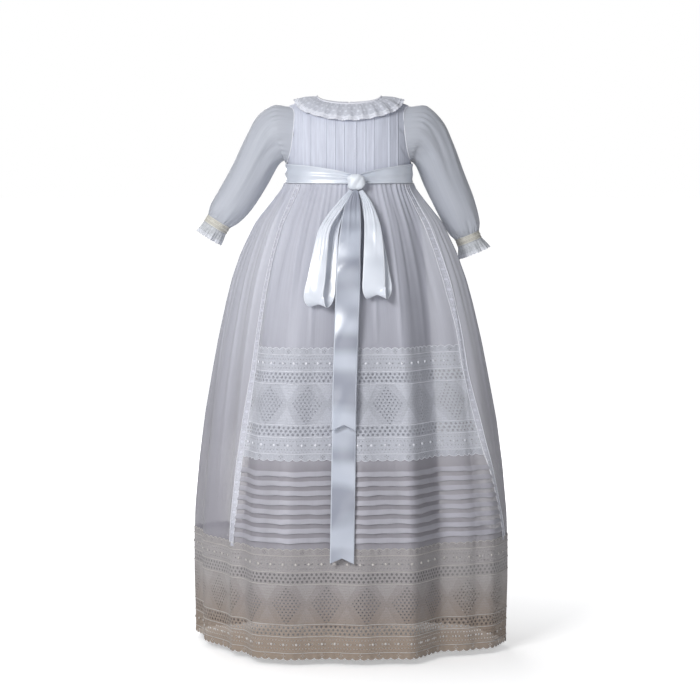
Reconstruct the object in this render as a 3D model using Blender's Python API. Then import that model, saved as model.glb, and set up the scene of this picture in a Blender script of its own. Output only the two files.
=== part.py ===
"""A long lace gown for an infant, filled out as if worn, modelled as the pieces that a maker would cut and sew.

The front faces -Y, +X is to the right of someone looking at the front, and +Z is up. The origin is the place where
the wearer's shoulders carry the gown: midway between them, at the height of the base of the neck. Each piece is a
thin wall of cloth. Its outer points come from one of the gown's forms (bodice, skirt, sleeve or ribbon), its inner
points lie one cloth thickness behind them, and pieces that are sewn together stand a seam's width apart.
"""

from math import asin, cos, hypot, pi, radians, sin, sqrt

import bmesh
import bpy
import numpy as np

MM = 0.001
UP = np.array([0.0, 0.0, 1.0])

# Cloth, mm
ORGANZA = 1.2
LACE = 1.2
BATISTE = 1.2
SATIN = 1.2
SEAM = 0.3
SMOOTH_BELOW = radians(50)

# Bodice, mm
CHEST_HALF_WIDTH = 99.0
CHEST_FRONT = 68.0
CHEST_BACK = 64.0
CHEST_POWER = 2.6
SHOULDER_DOME = 66.0
NECK_SIDE = (51.0, 4.5)
SHOULDER_TIP_Z = -11.0
NECK_FRONT_Z = -8.0
NECK_BACK_Z = -5.0
UNDERARM_Z = -101.0
ARMHOLE_HALF_DEPTH = 38.0
ARMHOLE_SEAM = 0.8
WAIST_Z = -133.0
PINTUCKS = (-74.0, -61.0, -36.0, -22.0, -8.0, 11.0, 26.0, 39.0, 64.0, 77.0)
PINTUCK_HALF_WIDTH = 1.4
PINTUCK_BACKING = 0.3
BODICE_ROWS = 8
SIDE_COLUMNS = 4
PLAIN_COLUMNS = 14
BACK_COLUMNS = 8
PINTUCK_RISE = 1.3
PLACKET = 8.0
LAP_CLEARANCE = 0.5
BACK_LINE = 84.0
SIDE_SEAM_SHARE = 0.30
BUTTON_RADIUS = 4.5
BUTTON_THICK = 2.0
BUTTON_SIDES = 10
BUTTON_Z = (-22.0, -62.0, -97.0)

# Collar, mm
COLLAR_WIDTH = 36.0
COLLAR_WAVES = 20
COLLAR_WAVE = 2.2
COLLAR_OPENING = 0.012
COLLAR_ROWS = 2
COLLAR_SPRING = 2.6
COLLAR_STEPS = 24
SLOPE_REACH = 0.2
STEEPEST = 12.0

# Skirt, mm
HEM_Z = -876.0
HEM_LACE_TOP_Z = -700.0
BAND_TOP_Z = -387.0
BAND_BOTTOM_Z = -563.0
LINING_HEM_Z = -828.0
WAIST_EASE = 3.3
STRIP_WIDTH = 11.0
LINING_COLUMNS = 40
LINING_FLUTES = 10
LINING_FLUTE = 3.2
LINING_DRIFT = 18.0
LINING_EASE_WIDE = 1.0
LINING_EASE_DEEP = 0.8
LINING_WIDEN = 66.0
LINING_DEEPEN = 84.0
LINING_ROWS = 5
GATHER = 2.3
GATHER_FADE_Z = -330.0
FOLD_GROWS_OVER = 260.0
TUCK_TOP_Z = -580.0
TUCKS = 8
TUCK_PITCH = 14.8
TUCK_DEPTH = 7.4
TUCK_RISE = 2.2
TUCK_TURN = 0.6

# How far the skirt has opened from the waist's oval to the hem's outline: height mm, share
SPREAD = (
    (-133.0, 0.00), (-141.0, 0.02), (-149.0, 0.07), (-165.0, 0.155), (-196.0, 0.325), (-245.0, 0.483),
    (-288.0, 0.583), (-327.0, 0.649), (-387.0, 0.735), (-434.0, 0.790), (-505.0, 0.868), (-585.0, 0.940),
    (-666.0, 0.990), (-716.0, 1.00), (-774.0, 1.00), (-830.0, 0.99), (-876.0, 0.985),
)

# The hem's outline seen from above: turn from the front middle towards +X in degrees, x mm, y mm
HEM_PLAN = (
    (-180, 0, 164), (-158, -90, 158), (-136, -168, 136), (-115, -224, 102), (-98, -254, 60), (-84, -240, 4),
    (-71, -212, -52), (-59, -190, -100), (-50, -166, -118), (-43, -148, -158), (-34, -114, -172), (-17, -58, -170),
    (0, -4, -173), (17, 50, -170), (31, 98, -170), (40, 122, -142), (48, 146, -110), (60, 190, -98),
    (73, 228, -84), (85, 248, -40), (98, 249, 8), (114, 224, 70), (135, 170, 118), (158, 92, 152), (180, 0, 164),
)

# Soft folds on top of that outline: turn degrees, half-width degrees, depth mm (+ out), height where it starts mm
FOLDS = (
    (-150, 11, 9, -260), (-126, 9, -8, -300), (-106, 8, 7, -250), (-90, 7, -8, -280), (-77, 6, 6, -220),
    (-64, 5, -5, -300), (-38, 6, -4, -240), (-25, 6, 5, -200), (-8, 6, -5, -260), (8, 6, 5, -220),
    (24, 6, -4, -240), (56, 6, 6, -260), (68, 5, -5, -300), (92, 7, 6, -260), (108, 8, -8, -280),
    (126, 9, 8, -250), (147, 9, -8, -300), (168, 9, 8, -260),
)

# The upright seams that bound the front panel: height mm, left turn, right turn in degrees
FRONT_SEAMS = (
    (-133, -46, 56), (-243, -48, 60), (-300, -49, 62), (-356, -50, 65), (-429, -51, 66), (-494, -53, 70),
    (-551, -54.5, 73), (-638, -56.5, 80), (-700, -58, 85), (-876, -58, 85),
)
SIDE_BACK_TURN = 130.0

# Stretches round the skirt from the front panel's left edge towards +X, with the columns of each
STRETCHES = (("front", 26), ("strip_right", 1), ("right", 20), ("back", 26), ("left", 22), ("strip_left", 1))
SKIRT_ROWS = (WAIST_Z - SEAM, -150.0, -185.0, -240.0, -310.0, BAND_TOP_Z, -431.0, -475.0, -519.0, BAND_BOTTOM_Z,
              -632.0, HEM_LACE_TOP_Z, -788.0, HEM_Z)

# Sleeve sections past the armhole: centre x, y, z, half-width across, half-depth, lean of the axis from upright
LEFT_SLEEVE = (
    (-112.0, 1.0, -54.0, 46.5, 40.0, 78.0),
    (-125.0, 3.0, -61.0, 42.0, 39.0, 58.0),
    (-140.0, 5.0, -82.0, 35.0, 36.0, 42.0),
    (-160.0, 7.0, -121.0, 32.5, 33.0, 34.0),
    (-182.0, 8.0, -158.0, 31.0, 31.0, 32.0),
    (-200.0, 8.0, -182.0, 27.5, 28.0, 32.0),
    (-210.0, 8.0, -194.5, 20.5, 21.5, 32.0),
)
RIGHT_SLEEVE = (
    (112.0, 4.0, -55.0, 46.5, 40.0, 74.0),
    (125.0, 9.0, -66.0, 41.5, 39.0, 50.0),
    (138.5, 15.0, -88.0, 35.5, 36.0, 32.0),
    (154.0, 22.0, -127.0, 34.0, 33.0, 22.0),
    (173.0, 27.0, -170.0, 32.0, 32.0, 22.0),
    (186.5, 29.0, -204.0, 27.5, 28.0, 22.0),
    (191.5, 29.0, -218.0, 20.5, 21.5, 22.0),
)
SLEEVE_COLUMNS = 20
SLEEVE_GATHER = 1.8
SLEEVE_RINGS = 8
CUFF_LENGTH = 11.0
CUFF_RUFFLE_LENGTH = 20.0
CUFF_WAVES = 9
CUFF_WAVE = 2.0
CUFF_FLARE = {"left": 1.0, "right": 6.0}

# Ribbon, mm
SASH_HALF = 15.4
SASH_BOTTOM_Z = -132.5
SASH_EASE = 0.5
SASH_CREASE = 1.3
SASH_LIFT = 4.4
SASH_DRAWN = 0.56
SASH_ROWS = 4
SASH_GAP_TURN = 0.4
SIDE_TURN = 90.0
RIBBON_CURL = 1.5
KNOT_AT = (11.0, -87.35, -130.0)
KNOT_HALF = (15.0, 9.0, 13.0)
KNOT_COLUMNS = 16

# The knot's sections from its top down: level as a share of its half-height, size as a share of its half-width
KNOT_SECTIONS = (
    (1.0, 0.70), (0.86, 0.92), (0.5, 1.0), (0.18, 0.97), (-0.18, 0.97), (-0.5, 1.0), (-0.86, 0.92), (-1.0, 0.74),
)

# Ribbon stretches, each a run of places down the ribbon: middle x, y, z, half-width, turn of its face in degrees
LEFT_LOOP = (
    (3.5, -91.5, -145.0, 3.5, 0), (-14, -106, -166, 7, -8), (-37, -128, -200, 9, -12), (-45, -143, -240, 12, -10),
    (-51, -152, -280, 14.5, -8), (-55, -155, -307, 15.5, -6), (-47, -149, -318, 15.5, -4), (-38, -142, -306, 15.5, -2),
    (-34, -137, -280, 14, -4), (-30, -127, -240, 12, -6), (-24, -114, -200, 9.5, -8), (-11, -99, -168, 7, -6),
    (3.5, -86.5, -145.0, 3.5, 0),
)
RIGHT_LOOP = (
    (18.5, -91.5, -144.6, 3.5, 0), (30, -106, -166, 8, 6), (37, -126, -200, 13, 6), (39, -142, -240, 16, 5),
    (39, -151, -274, 17.5, 4), (39, -153, -294, 18, 4), (44, -149, -303, 18, 4), (49, -143, -294, 18, 4),
    (47, -138, -274, 17, 4), (43, -128, -240, 15, 5), (37, -114, -200, 12, 6), (28, -99, -168, 8, 6),
    (18.5, -86.5, -144.6, 3.5, 0),
)
SHORT_TAIL = (
    (11, -93.0, -144.0, 4, 0), (6, -108, -166, 12, 4), (3, -127, -200, 16, 5), (0, -141, -240, 18, -4),
    (-1, -151, -280, 19, 5), (-3, -157, -330, 19, -5), (-5, -164, -392, 19, 5), (-7, -171, -452, 19, -4),
    (-8, -177, -514, 19, 3),
)
LONG_TAIL = (
    (11, -84.5, -143.9, 4, 0), (9, -95, -166, 10, -3), (5, -110.5, -198, 14, 3), (1, -127, -240, 17, -4),
    (-1, -138, -288, 19, 4), (-3, -146, -340, 19, -4), (-5, -155, -400, 19, 4), (-7, -163, -470, 19, -4),
    (-8, -170, -540, 19, 4), (-9, -177, -600, 19, -4), (-10, -181, -664, 19, 4), (-11, -184, -722, 19, -3),
)
TAIL_NOTCH = 9.0

FINISHES = {
    "organza": ((0.80, 0.82, 0.87), 0.55),
    "bodice_organza": ((0.84, 0.86, 0.92), 0.55),
    "lace": ((0.82, 0.83, 0.87), 0.75),
    "batiste": ((0.86, 0.87, 0.90), 0.80),
    "satin": ((0.86, 0.89, 0.94), 0.30),
    "cream_lace": ((0.86, 0.83, 0.78), 0.75),
    "button": ((0.90, 0.89, 0.86), 0.25),
}


def clear_scene():
    for thing in list(bpy.data.objects):
        bpy.data.objects.remove(thing)


def finish(name):
    """The named Principled material, made the first time it is asked for."""
    made = bpy.data.materials.get(name)
    if made:
        return made
    colour, roughness = FINISHES[name]
    made = bpy.data.materials.new(name)
    made.use_nodes = True
    shader = made.node_tree.nodes["Principled BSDF"]
    shader.inputs["Base Color"].default_value = (*colour, 1.0)
    shader.inputs["Roughness"].default_value = roughness
    shader.inputs["Metallic"].default_value = 0.0
    return made


def add_object(name, bm, material):
    mesh = bpy.data.meshes.new(name)
    bm.to_mesh(mesh)
    bm.free()
    mesh.materials.append(finish(material))
    mesh.shade_smooth()
    mesh.set_sharp_from_angle(angle=SMOOTH_BELOW)
    bpy.context.scene.collection.objects.link(bpy.data.objects.new(name, mesh))


def lengths(points):
    """Distance along a run of points, from 0 to 1."""
    steps = np.linalg.norm(np.diff(points, axis=0), axis=1)
    run = np.concatenate([[0.0], np.cumsum(steps)])
    return run / run[-1]


def rim(bm, a, b):
    """Close the edge between two runs of vertices, which may differ in number."""
    share_a = lengths(np.array([v.co for v in a]))
    share_b = lengths(np.array([v.co for v in b]))
    i = j = 0
    while i < len(a) - 1 or j < len(b) - 1:
        if j == len(b) - 1 or (i < len(a) - 1 and share_a[i + 1] <= share_b[j + 1] + 1e-6):
            bm.faces.new((a[i], a[i + 1], b[j]))
            i += 1
        else:
            bm.faces.new((a[i], b[j + 1], b[j]))
            j += 1


def wall(name, outer, inner, material, wrap=False):
    """A wall of cloth from two grids of points in mm, rows downwards and columns towards +X at the front."""
    bm = bmesh.new()
    skins = []
    for grid in (outer, inner):
        rows = [[bm.verts.new(point * MM) for point in row] for row in grid]
        if wrap:
            rows = [row + row[:1] for row in rows]
        skins.append(rows)
    for rows, out in zip(skins, (True, False)):
        for upper, lower in zip(rows, rows[1:]):
            for c in range(len(upper) - 1):
                corners = (upper[c], lower[c], lower[c + 1], upper[c + 1])
                bm.faces.new(corners if out else corners[::-1])
    front, back = skins
    rim(bm, front[0], back[0])
    rim(bm, back[-1], front[-1])
    if not wrap:
        rim(bm, [row[0] for row in back], [row[0] for row in front])
        rim(bm, [row[-1] for row in front], [row[-1] for row in back])
    add_object(name, bm, material)


def normals(grid, wrap=False):
    """The outward direction at each point of a grid."""
    down = np.gradient(grid, axis=0)
    if wrap:
        across = (np.roll(grid, -1, axis=1) - np.roll(grid, 1, axis=1)) / 2
    else:
        across = np.gradient(grid, axis=1)
    out = np.cross(down, across)
    return out / np.linalg.norm(out, axis=2, keepdims=True)


def pull_in(grid, amount=SEAM / 2, sides=True):
    """Draw a grid's edge points in along its rows and columns, which leaves the seams open."""
    grid = grid.copy()
    for edge, inside in ((0, 1), (-1, -2)):
        step = grid[inside] - grid[edge]
        grid[edge] += step / np.linalg.norm(step, axis=-1, keepdims=True) * amount
        if sides:
            step = grid[:, inside] - grid[:, edge]
            grid[:, edge] += step / np.linalg.norm(step, axis=-1, keepdims=True) * amount
    return grid


def from_table(table, at, column):
    """Read one column of a table at a place along its first column, with straight lines between the rows."""
    keys = [row[0] for row in table]
    values = [row[column] for row in table]
    if keys[0] > keys[-1]:
        keys, values = keys[::-1], values[::-1]
    return float(np.interp(at, keys, values))


def catmull_rom(p0, p1, p2, p3, t):
    """The curve from p1 to p2 at a share t of the way, which p0 and p3 steer."""
    return 0.5 * (2 * p1 + (p2 - p0) * t + (2 * p0 - 5 * p1 + 4 * p2 - p3) * t**2 + (3 * (p1 - p2) + p3 - p0) * t**3)


def smooth_curve(values, at):
    """A smooth curve through rows of values, read at a row number that may lie between rows."""
    values = np.asarray(values, float)
    last = len(values) - 1
    k = int(min(max(at, 0), last - 1e-9))
    return catmull_rom(*(values[min(max(k + step, 0), last)] for step in (-1, 0, 1, 2)), at - k)


def oval(turn, half_width, half_front, half_back):
    """The waist's rounded section seen from above, at a turn from the front middle."""
    s, c = sin(radians(turn)), cos(radians(turn))
    k = (abs(s) ** CHEST_POWER + abs(c) ** CHEST_POWER) ** (-1 / CHEST_POWER)
    return np.array([half_width * s * k, -(half_front if c > 0 else half_back) * c * k])


# Skirt form


def hem_outline(turn):
    """The point of the hem's outline at a turn, on a smooth closed curve."""
    turn = (turn + 180.0) % 360.0 - 180.0
    keys = [row[0] for row in HEM_PLAN]
    k = max(i for i in range(len(keys) - 1) if keys[i] <= turn)
    t = (turn - keys[k]) / (keys[k + 1] - keys[k])
    around = HEM_PLAN[:-1]
    return catmull_rom(*(np.array(around[(k + step) % len(around)][1:], float) for step in (-1, 0, 1, 2)), t)


def fold_height(turn, z):
    """How far the soft folds push the cloth out at a turn and height."""
    total = 0.0
    for middle, half, depth, start in FOLDS:
        off = abs((turn - middle + 180.0) % 360.0 - 180.0) / half
        if off < 1.5 and z < start:
            grow = min((start - z) / FOLD_GROWS_OVER, 1.0)
            total += depth * grow * cos(min(off, 1.5) / 1.5 * pi / 2) ** 2
    return total


def skirt_point(turn, z):
    """A point of the skirt's outer face at a turn and height, before the gathers."""
    spread = from_table(SPREAD, z, 1)
    waist = oval(turn, CHEST_HALF_WIDTH + WAIST_EASE, CHEST_FRONT + WAIST_EASE, CHEST_BACK + WAIST_EASE)
    flat = waist * (1 - spread) + hem_outline(turn) * spread
    flat = flat * (1 + fold_height(turn, z) / np.linalg.norm(flat))
    return np.array([flat[0], flat[1], z])


def strip_turn(turn, z):
    """Half the lace strip's width as a turn."""
    step = 2.0
    ahead = skirt_point(turn + step, z) - skirt_point(turn - step, z)
    return STRIP_WIDTH * step / hypot(ahead[0], ahead[1])


def column_turns(z):
    """The turn of every column round the skirt at a height, stretch by stretch."""
    left, right = (from_table(FRONT_SEAMS, z, column) for column in (1, 2))
    half_left, half_right = strip_turn(left, z), strip_turn(right, z)
    marks = (left + half_left, right - half_right, right + half_right, SIDE_BACK_TURN, 360.0 - SIDE_BACK_TURN,
             360.0 + left - half_left, 360.0 + left + half_left)
    turns = []
    for (_, columns), start, end in zip(STRETCHES, marks, marks[1:]):
        turns += [start + (end - start) * c / columns for c in range(columns)]
    return turns


def skirt_faces():
    """The skirt's outer and inner faces all round. Gathers rise at the waist on every other column."""
    grid = []
    for z in SKIRT_ROWS:
        gather = GATHER * max(0.0, (z - GATHER_FADE_Z) / (WAIST_Z - GATHER_FADE_Z)) ** 1.3
        row = []
        for c, turn in enumerate(column_turns(z)):
            point = skirt_point(turn, z)
            out = point * (1, 1, 0)
            row.append(point + out / np.linalg.norm(out) * gather * (-1) ** c)
        grid.append(row)
    outer = np.array(grid)
    return outer, outer - normals(outer, wrap=True) * ORGANZA


def stretch_columns(first, last):
    """The columns from the start of one stretch to the end of another, across the join if need be."""
    names = [name for name, _ in STRETCHES]
    starts = np.cumsum([0] + [columns for _, columns in STRETCHES])
    start = starts[names.index(first)]
    end = starts[names.index(last) + 1]
    total = starts[-1]
    if end < start:
        end += total
    return [c % total for c in range(start, end + 1)]


def skirt_piece(name, faces, first, last, top, bottom, material):
    """One piece of the skirt as a wall between two seams and two heights."""
    rows = range(SKIRT_ROWS.index(top), SKIRT_ROWS.index(bottom) + 1)
    columns = stretch_columns(first, last)
    outer, inner = (pull_in(face[np.ix_(rows, columns)]) for face in faces)
    wall(name, outer, inner, material)


def between_rows(grid, heights, z):
    """A row of a grid at a height between its own rows."""
    upper = max(r for r in range(len(heights) - 1) if heights[r] >= z)
    share = (heights[upper] - z) / (heights[upper] - heights[upper + 1])
    return grid[upper] * (1 - share) + grid[upper + 1] * share


def tucked_panel(faces):
    """The lower front: sawtooth tucks, each lying down over the next, in front of a plain inner face."""
    rows = range(SKIRT_ROWS.index(BAND_BOTTOM_Z), SKIRT_ROWS.index(HEM_LACE_TOP_Z) + 1)
    heights = [SKIRT_ROWS[row] for row in rows]
    outer, inner = (pull_in(face[np.ix_(rows, stretch_columns("front", "front"))], SEAM) for face in faces)
    tops = [TUCK_TOP_Z - k * TUCK_PITCH for k in range(TUCKS)]
    levels = [(BAND_BOTTOM_Z, 0.0)]
    for top in tops:
        levels += [(top, 0.0), (top - TUCK_DEPTH, TUCK_RISE), (top - TUCK_DEPTH - TUCK_TURN, 0.0)]
    levels.append((HEM_LACE_TOP_Z, 0.0))
    out = outer - inner
    out /= np.linalg.norm(out, axis=2, keepdims=True)
    out[:, (0, -1)] = 0.0
    raised = [between_rows(outer, heights, z) + between_rows(out, heights, z) * rise for z, rise in levels]
    plain = [between_rows(inner, heights, z) for z in (BAND_BOTTOM_Z, *tops, HEM_LACE_TOP_Z)]
    wall("skirt_front_tucked", np.array(raised), np.array(plain), "organza")


def make_skirt():
    faces = skirt_faces()
    waist = SKIRT_ROWS[0]
    skirt_piece("skirt_front_upper", faces, "front", "front", waist, BAND_TOP_Z, "organza")
    skirt_piece("lace_band_front", faces, "front", "front", BAND_TOP_Z, BAND_BOTTOM_Z, "lace")
    tucked_panel(faces)
    for side in ("left", "right", "back"):
        skirt_piece(f"skirt_{side}", faces, side, side, waist, HEM_LACE_TOP_Z, "organza")
        skirt_piece(f"hem_lace_{side}", faces, side, side, HEM_LACE_TOP_Z, HEM_Z, "lace")
    for side in ("left", "right"):
        strip = f"strip_{side}"
        skirt_piece(f"lace_{strip}", faces, strip, strip, waist, HEM_LACE_TOP_Z, "lace")
    skirt_piece("hem_lace_front", faces, "strip_left", "strip_right", HEM_LACE_TOP_Z, HEM_Z, "lace")


def lining_point(turn, z):
    """A point of the underskirt: a plainer, narrower cone inside the skirt."""
    share = (WAIST_Z - z) / (WAIST_Z - LINING_HEM_Z)
    flute = LINING_FLUTE * share * cos(radians(turn) * LINING_FLUTES)
    wide = CHEST_HALF_WIDTH - LINING_EASE_WIDE + LINING_WIDEN * share**0.55 + flute
    deep = LINING_DEEPEN * share**0.75 - LINING_EASE_DEEP + flute
    flat = oval(turn, wide, CHEST_FRONT + deep, CHEST_BACK + deep)
    return np.array([flat[0] - LINING_DRIFT * share**1.5, flat[1], z])


def make_underskirt():
    """The batiste slip under the organza, in a front and a back cut at the side seams."""
    rows = np.linspace(WAIST_Z - SEAM, LINING_HEM_Z, LINING_ROWS + 1)
    turns = [360.0 * c / LINING_COLUMNS - 90.0 for c in range(LINING_COLUMNS)]
    outer = np.array([[lining_point(turn, z) for turn in turns] for z in rows])
    inner = outer - normals(outer, wrap=True) * BATISTE
    half = LINING_COLUMNS // 2
    for name, start in (("underskirt_front", 0), ("underskirt_back", half)):
        columns = [c % LINING_COLUMNS for c in range(start, start + half + 1)]
        wall(name, pull_in(outer[:, columns]), pull_in(inner[:, columns]), "batiste")


# Bodice form


def shoulder_z(x):
    """Height of the ridge over the shoulders."""
    neck_x, neck_z = NECK_SIDE
    along = min(max((abs(x) - neck_x) / (CHEST_HALF_WIDTH - neck_x), 0.0), 1.0)
    return neck_z + (SHOULDER_TIP_Z - neck_z) * along**1.2


def chest_point(x, z, side):
    """A point on the front (side -1) or back (+1) of the bodice, at a width and height."""
    half = CHEST_FRONT if side < 0 else CHEST_BACK
    below = min(max((shoulder_z(x) - z) / SHOULDER_DOME, 0.0), 1.0)
    dome = sqrt(max(1.0 - (1.0 - below) ** 2, 0.0))
    across = max(1.0 - (abs(x) / CHEST_HALF_WIDTH) ** CHEST_POWER, 0.0) ** (1 / CHEST_POWER)
    return np.array([x, side * half * dome * across, z])


def armhole_edge(v, side, sign):
    """The side edge of a bodice panel: up the side seam, then round its half of the armhole."""
    if v <= SIDE_SEAM_SHARE:
        z = WAIST_Z + (UNDERARM_Z - WAIST_Z) * v / SIDE_SEAM_SHARE
        return CHEST_HALF_WIDTH * sign, z, 0.0
    around = (v - SIDE_SEAM_SHARE) / (1 - SIDE_SEAM_SHARE)
    z = UNDERARM_Z + (SHOULDER_TIP_Z - UNDERARM_Z) * (1 - cos(pi * around)) / 2
    depth = ARMHOLE_HALF_DEPTH * sin(pi * around) ** 0.8 if 0 < around < 1 else 0.0
    return None, z, side * depth


def x_at_depth(z, depth, side, sign):
    """The width at which the bodice form is a given depth from the side plane."""
    low, high = 0.0, CHEST_HALF_WIDTH
    for _ in range(30):
        middle = (low + high) / 2
        if abs(chest_point(middle, z, side)[1]) > abs(depth):
            low = middle
        else:
            high = middle
    return sign * (low + high) / 2


def top_edge_z(x, side):
    """The neckline inside the neck's width, and the shoulder seam outside it."""
    neck_x, neck_z = NECK_SIDE
    if abs(x) >= neck_x:
        return shoulder_z(x)
    dip = NECK_FRONT_Z if side < 0 else NECK_BACK_Z
    return dip + (neck_z - dip) * (1 - sqrt(1 - (abs(x) / neck_x) ** 2))


def bodice_grid(side, places, rows):
    """A bodice panel. Its places run from one side seam to the other: a width in mm, or a share of the way from the
    last upright line to the armhole, given as (line, share, sign)."""
    grid = np.zeros((rows + 1, len(places), 3))
    for c, place in enumerate(places):
        for r in range(rows + 1):
            v = 1.0 - r / rows
            if not isinstance(place, tuple):
                z = WAIST_Z + (top_edge_z(place, side) - WAIST_Z) * v
                grid[r, c] = chest_point(place, z, side)
                continue
            line, share, sign = place
            edge_x, edge_z, edge_y = armhole_edge(v, side, sign)
            if edge_x is None:
                edge_x = x_at_depth(edge_z, edge_y, side, sign)
            line_z = WAIST_Z + (top_edge_z(line, side) - WAIST_Z) * v
            bend_line = asin(min(abs(line) / CHEST_HALF_WIDTH, 1.0))
            bend_edge = asin(min(abs(edge_x) / CHEST_HALF_WIDTH, 1.0))
            x = sign * CHEST_HALF_WIDTH * sin(bend_line + (bend_edge - bend_line) * share)
            z = line_z + (edge_z - line_z) * share
            grid[r, c] = chest_point(x, min(z, shoulder_z(x)), side)
    return grid


def open_shoulder(grid):
    """Leave a seam between front and back where both reach the side plane."""
    side = -1.0 if grid[:, :, 1].mean() < 0 else 1.0
    short = np.minimum(side * grid[:, :, 1], SEAM / 2) - SEAM / 2
    grid[:, :, 1] -= side * short
    return grid


def side_shares(line, sign):
    """The places of a bodice panel between its last upright line and one side seam, in order towards +X."""
    shares = [(line, k / SIDE_COLUMNS, sign) for k in range(1, SIDE_COLUMNS + 1)]
    return shares[::-1] if sign < 0 else shares


def inward(grid, thick):
    """The inner face of a bodice panel, which stays on its own side of the shoulder and side seams."""
    side = -1.0 if grid[:, :, 1].mean() < 0 else 1.0
    inner = grid - normals(grid) * thick
    near = side * inner[:, :, 1] < SEAM / 2
    inner[:, :, 1][near] = side * SEAM / 2
    return inner


def make_bodice_front():
    """The front, with narrow upright pintucks raised over a plain inner face."""
    line = PINTUCKS[-1] + 4.0
    middle = []
    rise = []
    for place in PINTUCKS:
        middle += [place - PINTUCK_HALF_WIDTH, place, place + PINTUCK_HALF_WIDTH]
        rise += [0.0, PINTUCK_RISE, 0.0]
    places = side_shares(-line, -1) + [-line] + middle + [line] + side_shares(line, 1)
    flat = [0.0] * (SIDE_COLUMNS + 1)
    lift = np.array(flat + rise + flat)
    base = open_shoulder(pull_in(bodice_grid(-1, places, BODICE_ROWS), sides=False))
    fade = np.ones(BODICE_ROWS + 1)
    fade[0] = fade[-1] = 0.0
    raised = base + normals(base) * lift[None, :, None] * fade[:, None, None]
    plain_places = side_shares(-line, -1) + list(np.linspace(-line, line, PLAIN_COLUMNS + 1)) + side_shares(line, 1)
    plain = open_shoulder(pull_in(bodice_grid(-1, plain_places, BODICE_ROWS), sides=False))
    wall("bodice_front", raised, inward(plain, ORGANZA + PINTUCK_BACKING), "bodice_organza")


def make_bodice_back():
    """Two backs that lap at the middle: the one at +X lies over the other, with three buttons on its edge."""
    for name, sign in (("bodice_back_left", -1), ("bodice_back_right", 1)):
        across = list(np.linspace(-sign * PLACKET, sign * BACK_LINE, BACK_COLUMNS + 1))
        shares = side_shares(sign * BACK_LINE, sign)
        places = across + shares if sign > 0 else shares + across[::-1]
        grid = bodice_grid(1, places, BODICE_ROWS)[:, ::-1]
        if sign < 0:
            sink = np.clip((grid[:, :, 0] + 3 * PLACKET) / PLACKET, 0.0, 1.0)
            grid -= normals(grid) * (sink * (ORGANZA + SEAM + LAP_CLEARANCE))[:, :, None]
        grid = open_shoulder(pull_in(grid, sides=False))
        wall(name, grid, inward(grid, ORGANZA), "bodice_organza")


def disc(name, centre, out, radius, thick, material):
    """A flat round button with a rounded face."""
    bm = bmesh.new()
    side = np.cross(UP, out)
    side /= np.linalg.norm(side)
    up = np.cross(out, side)
    rings = []
    for across, off in ((0.75, 0.0), (1.0, 0.35), (1.0, 0.65), (0.75, 1.0)):
        ring = []
        for k in range(BUTTON_SIDES):
            angle = 2 * pi * k / BUTTON_SIDES
            point = centre + out * off * thick + (side * cos(angle) + up * sin(angle)) * across * radius
            ring.append(bm.verts.new(point * MM))
        rings.append(ring)
    for low, high in zip(rings, rings[1:]):
        for k in range(BUTTON_SIDES):
            n = (k + 1) % BUTTON_SIDES
            bm.faces.new((low[k], low[n], high[n], high[k]))
    bm.faces.new(rings[0][::-1])
    bm.faces.new(rings[-1])
    add_object(name, bm, material)


def make_buttons():
    for number, z in enumerate(BUTTON_Z, 1):
        at = chest_point(0.0, z, 1)
        above, below = chest_point(0.0, z + 3, 1), chest_point(0.0, z - 3, 1)
        out = np.cross(above - below, np.array([1.0, 0.0, 0.0]))
        out = out / np.linalg.norm(out) * (1 if out[1] > 0 else -1)
        disc(f"button_{number}", at + out * (SEAM + 0.1), out, BUTTON_RADIUS, BUTTON_THICK, "button")


def chest_top(x, y):
    """Height of the bodice's outer face above a place, where it can be seen from above."""
    half = CHEST_FRONT if y < 0 else CHEST_BACK
    across = max(1.0 - (min(abs(x), CHEST_HALF_WIDTH) / CHEST_HALF_WIDTH) ** CHEST_POWER, 1e-6) ** (1 / CHEST_POWER)
    dome = min(abs(y) / (half * across), 1.0)
    return shoulder_z(x) - SHOULDER_DOME * (1.0 - sqrt(1.0 - dome**2))


def collar_line(turn):
    """Points down the collar from the neckline, each the same length of cloth from the last."""
    neck_x = NECK_SIDE[0]
    side = -1 if cos(turn) > 0 else 1
    start = chest_point(neck_x * sin(turn), top_edge_z(neck_x * sin(turn), side), side)
    away = np.array([sin(turn) / neck_x, -cos(turn) / abs(chest_point(0.0, NECK_FRONT_Z, -1)[1])])
    away /= np.linalg.norm(away)
    points = [start]
    place = start[:2].copy()
    total = COLLAR_STEPS * COLLAR_ROWS
    for step in range(1, total + 1):
        rise = chest_top(*(place + away * SLOPE_REACH)) - chest_top(*place)
        place = place + away * COLLAR_WIDTH / total / hypot(1.0, min(abs(rise) / SLOPE_REACH, STEEPEST))
        if step % COLLAR_STEPS == 0:
            points.append(np.array([place[0], place[1], chest_top(*place)]))
    return points


def make_collar():
    """The gathered lace collar, which lies out over the shoulders from the neckline."""
    columns = COLLAR_WAVES * 4
    lines = [collar_line((2 * c / columns - 1) * (pi - COLLAR_OPENING)) for c in range(columns + 1)]
    grid = np.array(lines).transpose(1, 0, 2)
    out = collar_out(grid)
    for r in range(COLLAR_ROWS + 1):
        share = r / COLLAR_ROWS
        off = LACE + SEAM + 0.1 + COLLAR_SPRING * min(share * 2, 1.0)
        for c in range(columns + 1):
            grid[r, c] += out[r, c] * (off + COLLAR_WAVE * share * (1 + cos(pi / 2 * c)))
    wall("collar", grid, grid - out * LACE, "lace")


def collar_out(grid):
    """The direction away from the bodice under the collar, evened out round the neck."""
    out = normals(grid)
    for _ in range(3):
        out[:, 1:-1] = out[:, 1:-1] + out[:, 2:] + out[:, :-2]
        out /= np.linalg.norm(out, axis=2, keepdims=True)
    return out


# Sleeves


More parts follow.
